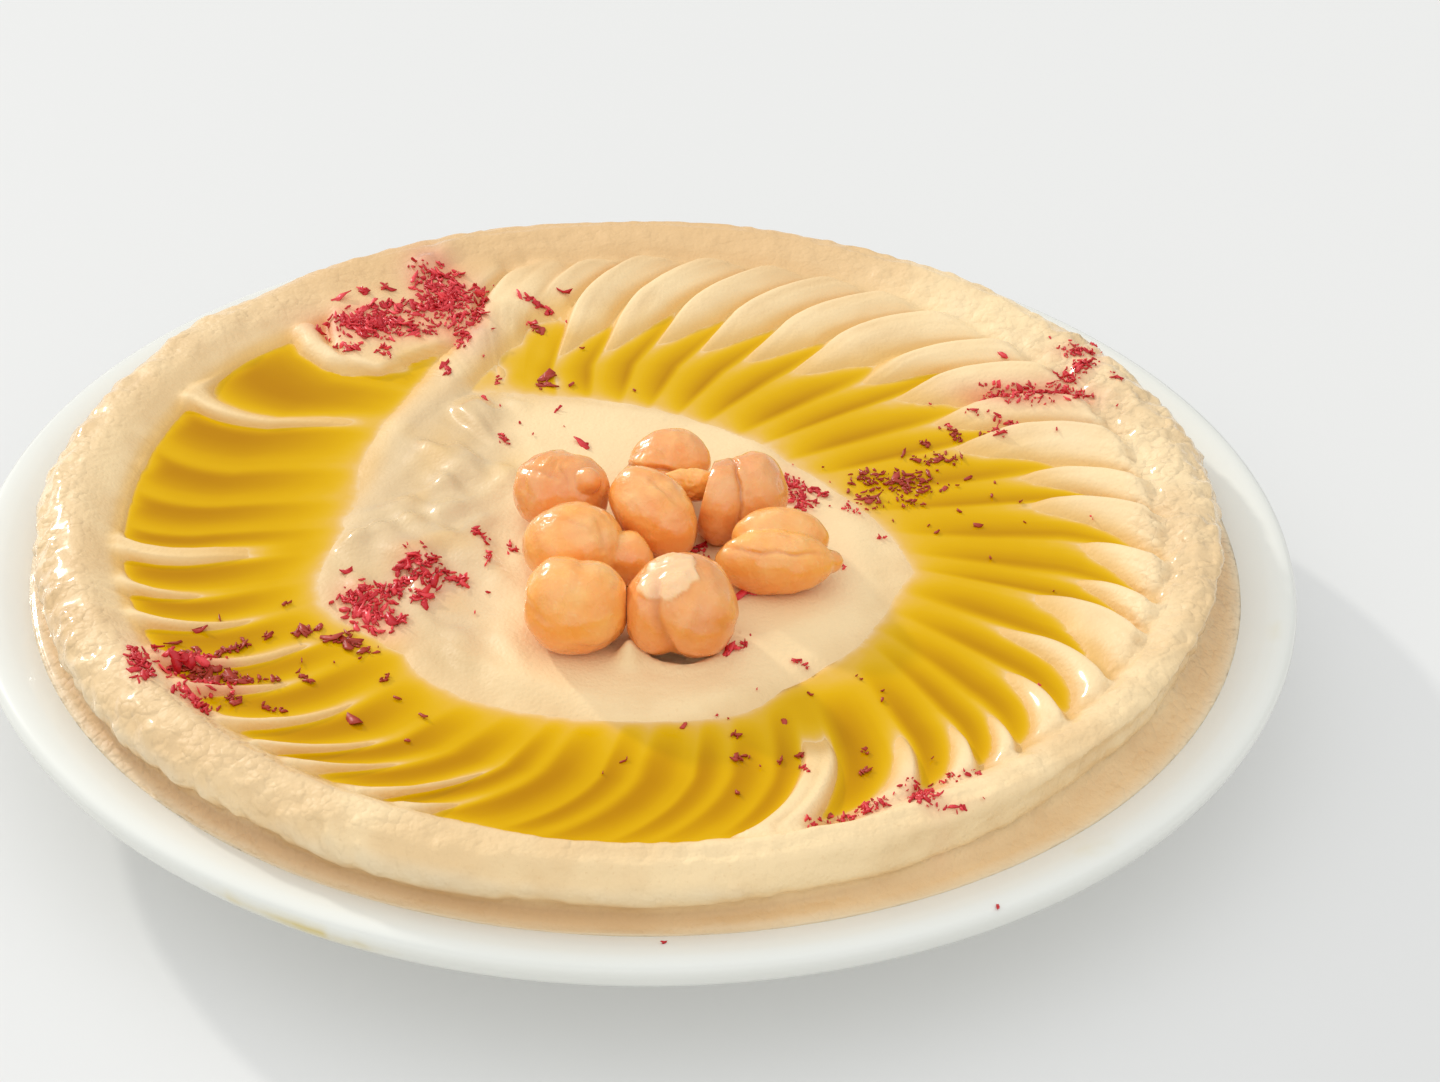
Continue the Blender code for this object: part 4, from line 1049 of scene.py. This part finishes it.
def wrinkles(way, name):
    """Fine wrinkles round one point of a chickpea's skin: lumps squeezed along one direction."""
    total = np.zeros(way.shape[:-1])
    for near, along, reach, depth in WRINKLES.get(name, ()):
        c = np.array(near, float) / np.linalg.norm(near)
        k = np.array(along, float) / np.linalg.norm(along)
        squeezed = way * 5 - 4.0 * (way @ k)[..., None] * k
        away = np.arccos(np.clip(way @ c, -1, 1))
        total += depth * rough_lumps(squeezed, 0.9, 311, 2) * np.exp(-((away / reach) ** 4))
    return total


def torn(way, name):
    """1 where loose skin is left on a chickpea, 0 where it has come off, with a ragged edge between."""
    if name not in TORN:
        return np.zeros(way.shape[:-1])
    near, reach = TORN[name]
    c = np.array(near, float) / np.linalg.norm(near)
    away = np.arccos(np.clip(way @ c, -1, 1)) + 0.22 * rough_lumps(way * 6, 2.4, 321)
    return 1 - smooth_step(away, reach - 0.03, reach + 0.03)


def pea_points(name, way):
    """Surface of one chickpea along each unit vector, pressed flat against its neighbours."""
    centre, lobes = PEAS[name]
    centre = np.array(centre)
    reach = pea_reach(way, lobes)
    seed = list(PEAS).index(name) * 7 + 100
    reach = reach + 0.34 * rough_lumps(way * 6, 3.4, seed) + 0.09 * lumps(way * 6, 1.3, seed + 5)
    reach = reach - sum(fold(way, row) for row in FOLDS.get(name, ()))
    reach = reach + wrinkles(way, name) + 0.3 * torn(way, name) * (1 + 0.5 * lumps(way * 6, 1.1, seed + 9))
    points = centre + way * reach[..., None]
    for other, (there, its_lobes) in PEAS.items():
        apart = np.array(there) - centre
        distance = np.linalg.norm(apart)
        if other == name or distance > PEA_NEIGHBOURS:
            continue
        n = apart / distance
        mine, theirs = pea_reach(n[None], lobes)[0], pea_reach(-n[None], its_lobes)[0]
        limit = distance * mine / (mine + theirs) - 0.02
        points = points - np.maximum((points - centre) @ n - limit, 0)[..., None] * n
    bed = height(points[..., 0], points[..., 1]) - PRESSED_IN
    points[..., 2] = np.maximum(points[..., 2], bed)
    return points


def pea_finish():
    made = finish("chickpea")
    clouds = made.noise(5.0, 3.0)
    specks = made.between(made.noise(0.8, 2.0), 0.60, 0.75)
    base = made.mix(made.between(clouds, 0.35, 0.7), colour(246, 158, 70), colour(254, 182, 96))
    base = made.mix(specks * 0.35, base, colour(250, 206, 140))
    # Paler mottling, stronger towards the top: random tone, with painted light on top
    base = made.mix(made.value("pale") * 0.45, base, colour(252, 203, 128))
    base = made.mix(made.value("tanned") * 0.55, base, colour(230, 152, 88))
    base = made.mix(made.value("golden") * 0.8, base, colour(255, 190, 88))
    # Darker towards the bottom: painted shade under the chickpea
    base = made.mix(made.value("under") * 0.6, base, colour(236, 142, 72))
    base = made.mix(made.value("skin") * 0.75, base, colour(255, 213, 160))
    # Darker in the folds: painted shade
    base = made.mix(made.value("fold"), base, colour(196, 104, 44))
    grain = made.bump(made.noise(0.7, 3.0), 0.08)
    gloss = made.between(made.noise(3.0, 2.0), 0.3, 0.7, 0.22, 0.4)
    dimples = made.bump(made.noise(2.0, 2.0), 0.24, grain)
    sockets = {"Base Color": base, "Roughness": gloss, "Normal": dimples, "Specular IOR Level": 0.6}
    sockets |= {"Coat Weight": made.between(made.noise(4.0, 2.0), 0.3, 0.6), "Coat Roughness": 0.12}
    sockets |= {"Subsurface Weight": 0.25, "Subsurface Scale": 0.002, "Subsurface Radius": (1.0, 0.5, 0.25)}
    return made.skin(sockets)


def pea_values(name, way):
    """The numbers that the chickpeas' finish reads, for each unit vector."""
    even = np.ones(way.shape[:2])
    folded = sum((fold(way, row) for row in FOLDS.get(name, ())), 0 * even)
    mottle = smooth_step(rough_lumps(way * 6, 4.0, 410 + list(PEAS).index(name), 2), -0.1, 0.5)
    return {
        "skin": torn(way, name),
        # Darker in the folds: painted shade
        "fold": np.clip(folded * 0.7, 0, 0.5),
        # Paler mottling, stronger towards the top: painted light on top
        "pale": mottle * smooth_step(way[..., 2], -0.2, 0.7),
        # Darker towards the bottom: painted shade under the chickpea
        "under": smooth_step(-way[..., 2], -0.3, 0.8),
        "tanned": TANNED.get(name, 0) * even,
        "golden": GOLDEN.get(name, 0) * even,
    }


pea_skin = pea_finish()
ways = globe(70, 110)
for name in PEAS:
    ends = pea_points(name, np.array([[(0, 0, 1.0)], [(0, 0, -1.0)]]))[:, 0] + lift
    made = shell(name + "_boiled", pea_points(name, ways) + lift, *ends, pea_skin, pea_values(name, ways))
    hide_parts(name)

# %% [markdown]
# ## Sumac
# Sumac is a dried berry, crushed into flakes of skin about a millimetre long. Each flake is a bent, ragged
# tile: a ring of seven corners above, the same ring below, and a point in the middle of each. They are all
# made at once, as rows of one array, and each is laid on the surface where a straight fall would take it.

# %% Sumac
FLAKE_CORNERS = 7
FLAKE_THICKNESS = 0.18


def fall(plan):
    """Where flakes dropped at each (x, y) land: the point, the surface's direction and the depth of oil."""
    landed = []
    for x, y in plan.tolist():
        place, way, _, _ = ground.ray_cast(Vector((x, y, 90)), Vector((0, 0, -1)))
        landed.append((*place, *way) if place else (x, y, float(plate_top(x, y)) + RIM_TOP, 0, 0, 1))
    landed = np.array(landed)
    in_trough = np.hypot(landed[:, 0], landed[:, 1] - TROUGH_Y) < 72
    depth = np.maximum(OIL_LEVEL + RIM_TOP - landed[:, 2], 0) * in_trough
    landed[:, 2] += depth
    landed[depth > 0, 3:] = (0, 0, 1)
    return landed[:, :3], landed[:, 3:], depth


def scattered():
    """Plan position of every flake: even along its streak, and in a bell curve across it."""
    random = np.random.default_rng(23)
    places = []
    for x_start, y_start, x_end, y_end, half_width, few in SUMAC_STREAKS:
        count = round(few * CROWDING)
        start, end = np.array((x_start, y_start)), np.array((x_end, y_end))
        spread_out = random.normal(size=(count, 2)).clip(-2, 2) * 0.55 * half_width
        places.append(start + (end - start) * random.random((count, 1)) + spread_out)
    return np.concatenate([*places, SUMAC_SINGLES])


def flakes(plan):
    """Corners of every flake, as an array of (flake, corner, xyz), and its depth in oil."""
    random = np.random.default_rng(29)
    place, up, depth = fall(plan)
    count = len(place)
    up = up + random.normal(size=(count, 3)) * np.where(depth > 0, 0.12, 0.42)[:, None]
    up = up / np.linalg.norm(up, axis=1, keepdims=True)
    aside = np.cross(up, random.normal(size=(count, 3)))
    aside = aside / np.linalg.norm(aside, axis=1, keepdims=True)
    ahead = np.cross(up, aside)
    size = random.lognormal(-0.6, 0.55, count).clip(0.25, 1.8)
    size = size * (1.15 - 0.4 * smooth_step(place[:, 0], 0, 25))
    uneven = np.arange(FLAKE_CORNERS) + 0.7 * random.random((count, FLAKE_CORNERS))
    turn = 2 * np.pi * uneven / FLAKE_CORNERS
    ragged = size[:, None] * (0.55 + 0.45 * random.random((count, FLAKE_CORNERS)))
    u = ragged * np.cos(turn)
    v = ragged * np.sin(turn) * random.uniform(0.18, 0.5, count)[:, None]
    bow = random.uniform(-0.35, 0.5, count)[:, None] / size[:, None]
    w = bow * u * u + 0.1 * size[:, None] * random.normal(size=u.shape)
    flat = np.stack([u, v, w], -1)
    thick = np.array((0, 0, FLAKE_THICKNESS / 2))
    middle = np.zeros((count, 1, 3))
    local = np.concatenate([flat + thick, flat - thick, middle + 1.6 * thick, middle - 1.6 * thick], 1)
    axes = np.stack([aside, ahead, up], 1)
    lift_off = (0.10 + random.random((count, 1)) * 0.25) * up
    return np.einsum("fck,fkx->fcx", local, axes) + (place + lift_off)[:, None], depth


def flake_faces(count):
    """Corner numbers: a fan above, a fan below and a band of squares round the edge of each flake."""
    i = np.arange(FLAKE_CORNERS)
    j = (i + 1) % FLAKE_CORNERS
    n = FLAKE_CORNERS
    above = np.stack([i, j, np.full(n, 2 * n)], 1)
    below = np.stack([j + n, i + n, np.full(n, 2 * n + 1)], 1)
    band = np.stack([i + n, j + n, j, i], 1)
    first_corner = (2 * n + 2) * np.arange(count)[:, None, None]
    faces = []
    for part in (above, below, band):
        faces += (part + first_corner).reshape(-1, part.shape[1]).tolist()
    return faces


def sumac_finish():
    made = finish("sumac")
    shade = made.value("shade")
    base = made.mix(shade * shade, colour(196, 16, 30), colour(248, 76, 82))
    base = made.mix(made.value("soaked") * 0.8, base, colour(160, 52, 12))
    gloss = made.between(made.noise(0.6, 2.0), 0.3, 0.7, 0.3, 0.6)
    grain = made.bump(made.noise(0.35, 2.0), 0.05)
    return made.skin({"Base Color": base, "Roughness": gloss, "Normal": grain})


corners, soaked = flakes(scattered())
shades = np.repeat(np.random.default_rng(31).random(len(corners)), corners.shape[1])
sumac = piece("sumac_flakes", corners.reshape(-1, 3), flake_faces(len(corners)), sumac_finish(),
              {"shade": shades, "soaked": np.repeat(smooth_step(soaked, 0.0, 0.4), corners.shape[1])})

# %% [markdown]
# ## Plate
# The plate is glazed white stoneware. A turned shape is a profile carried round an axis, and here the
# profile is the CAD part's, made smooth and turned in many more steps. Its points are (radius, height).

# %% Plate
PLATE_OUTER = (
    (85.6, -0.25), (87.8, 0.0), (89.4, -0.3), (90.0, -1.0), (89.7, -2.4), (88.9, -3.8), (86.5, -4.7),
    (70.0, -8.9), (54.0, -13.0), (52.0, -14.6), (51.0, -17.4), (49.5, -18.0), (47.4, -18.0), (46.4, -17.2),
    (45.6, -13.6),
)
PLATE_INNER = ((4.0, -9.0), (30.0, -9.0), (48.0, -9.0), (64.0, -5.46), (81.0, -1.7))
PLATE_UNDER = ((30.0, -13.0), (4.0, -13.0))
# Dried smears of oil on the rim: (x, y, half length, half width, heading in degrees, strength) and height
SMEARS = (
    ((-37.5, -81.7, 7.0, 4.0, -25, 1.2), -2.3), ((-48.5, -75.5, 2.4, 4.0, -33, 0.7), -2.1),
    ((56.0, -66.5, 2.2, 1.2, 45, 0.4), -0.3), ((85.0, -20.0, 1.5, 1.0, 80, 0.25), -0.3),
)
SMEAR_HALF_HEIGHT = 0.9


def plate_finish():
    made = finish("glazed_white")
    clouds = made.noise(30.0, 2.0)
    base = made.mix(clouds, colour(229, 229, 220), colour(234, 234, 227))
    smear = made.value("smear") * made.between(made.noise(6.0, 2.0), 0.38, 0.58, 0.25, 0.85)
    base = made.mix(smear, base, colour(217, 194, 106))
    glaze = made.bump(made.noise(18.0, 2.0), 0.05)
    return made.skin({"Base Color": base, "Roughness": 0.22, "Normal": glaze, "Specular IOR Level": 0.5})


edge = smooth_curve(PLATE_OUTER, 70)
outline = np.concatenate([PLATE_INNER, edge, PLATE_UNDER])
turn = np.linspace(0, 2 * np.pi, 256, endpoint=False)[None, :]
plate_x, plate_y = outline[:, :1] * np.cos(turn), outline[:, :1] * np.sin(turn)
plate_grid = np.stack([plate_x, plate_y, outline[:, 1:] + 0 * turn], -1)
smears = np.zeros(plate_grid.shape[:2])
for row, z in SMEARS:
    beside = np.exp(-(((plate_grid[..., 2] - z) / SMEAR_HALF_HEIGHT) ** 2))
    smears += beside * hump(plate_grid[..., 0], plate_grid[..., 1], row)
ends = [np.array((0, 0, z)) + lift for z in (PLATE_INNER[0][1], PLATE_UNDER[-1][1])]
plate = shell("plate_glazed", plate_grid + lift, *ends, plate_finish(), {"smear": np.minimum(smears, 1)})
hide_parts("plate")

# %% [markdown]
# ## Floor
# A plain pale table top, which is no part of the object.

# %% Floor
floor_mesh = bpy.data.meshes.new("floor")
floor_mesh.from_pydata([(-3, -3, 0), (3, -3, 0), (3, 3, 0), (-3, 3, 0)], [], [(0, 1, 2, 3)])
floor = bpy.data.objects.new("floor", floor_mesh)
bpy.context.scene.collection.objects.link(floor)
table_top = finish("table_top")
plain = {"Base Color": (0.54, 0.54, 0.53, 1), "Roughness": 0.55}
# The table top glows faintly: painted light that lifts the shadows on it and lights the plate from below
glowing = {"Emission Color": (1.0, 1.0, 0.98, 1), "Emission Strength": 0.22}
floor_mesh.materials.append(table_top.skin(plain | glowing))
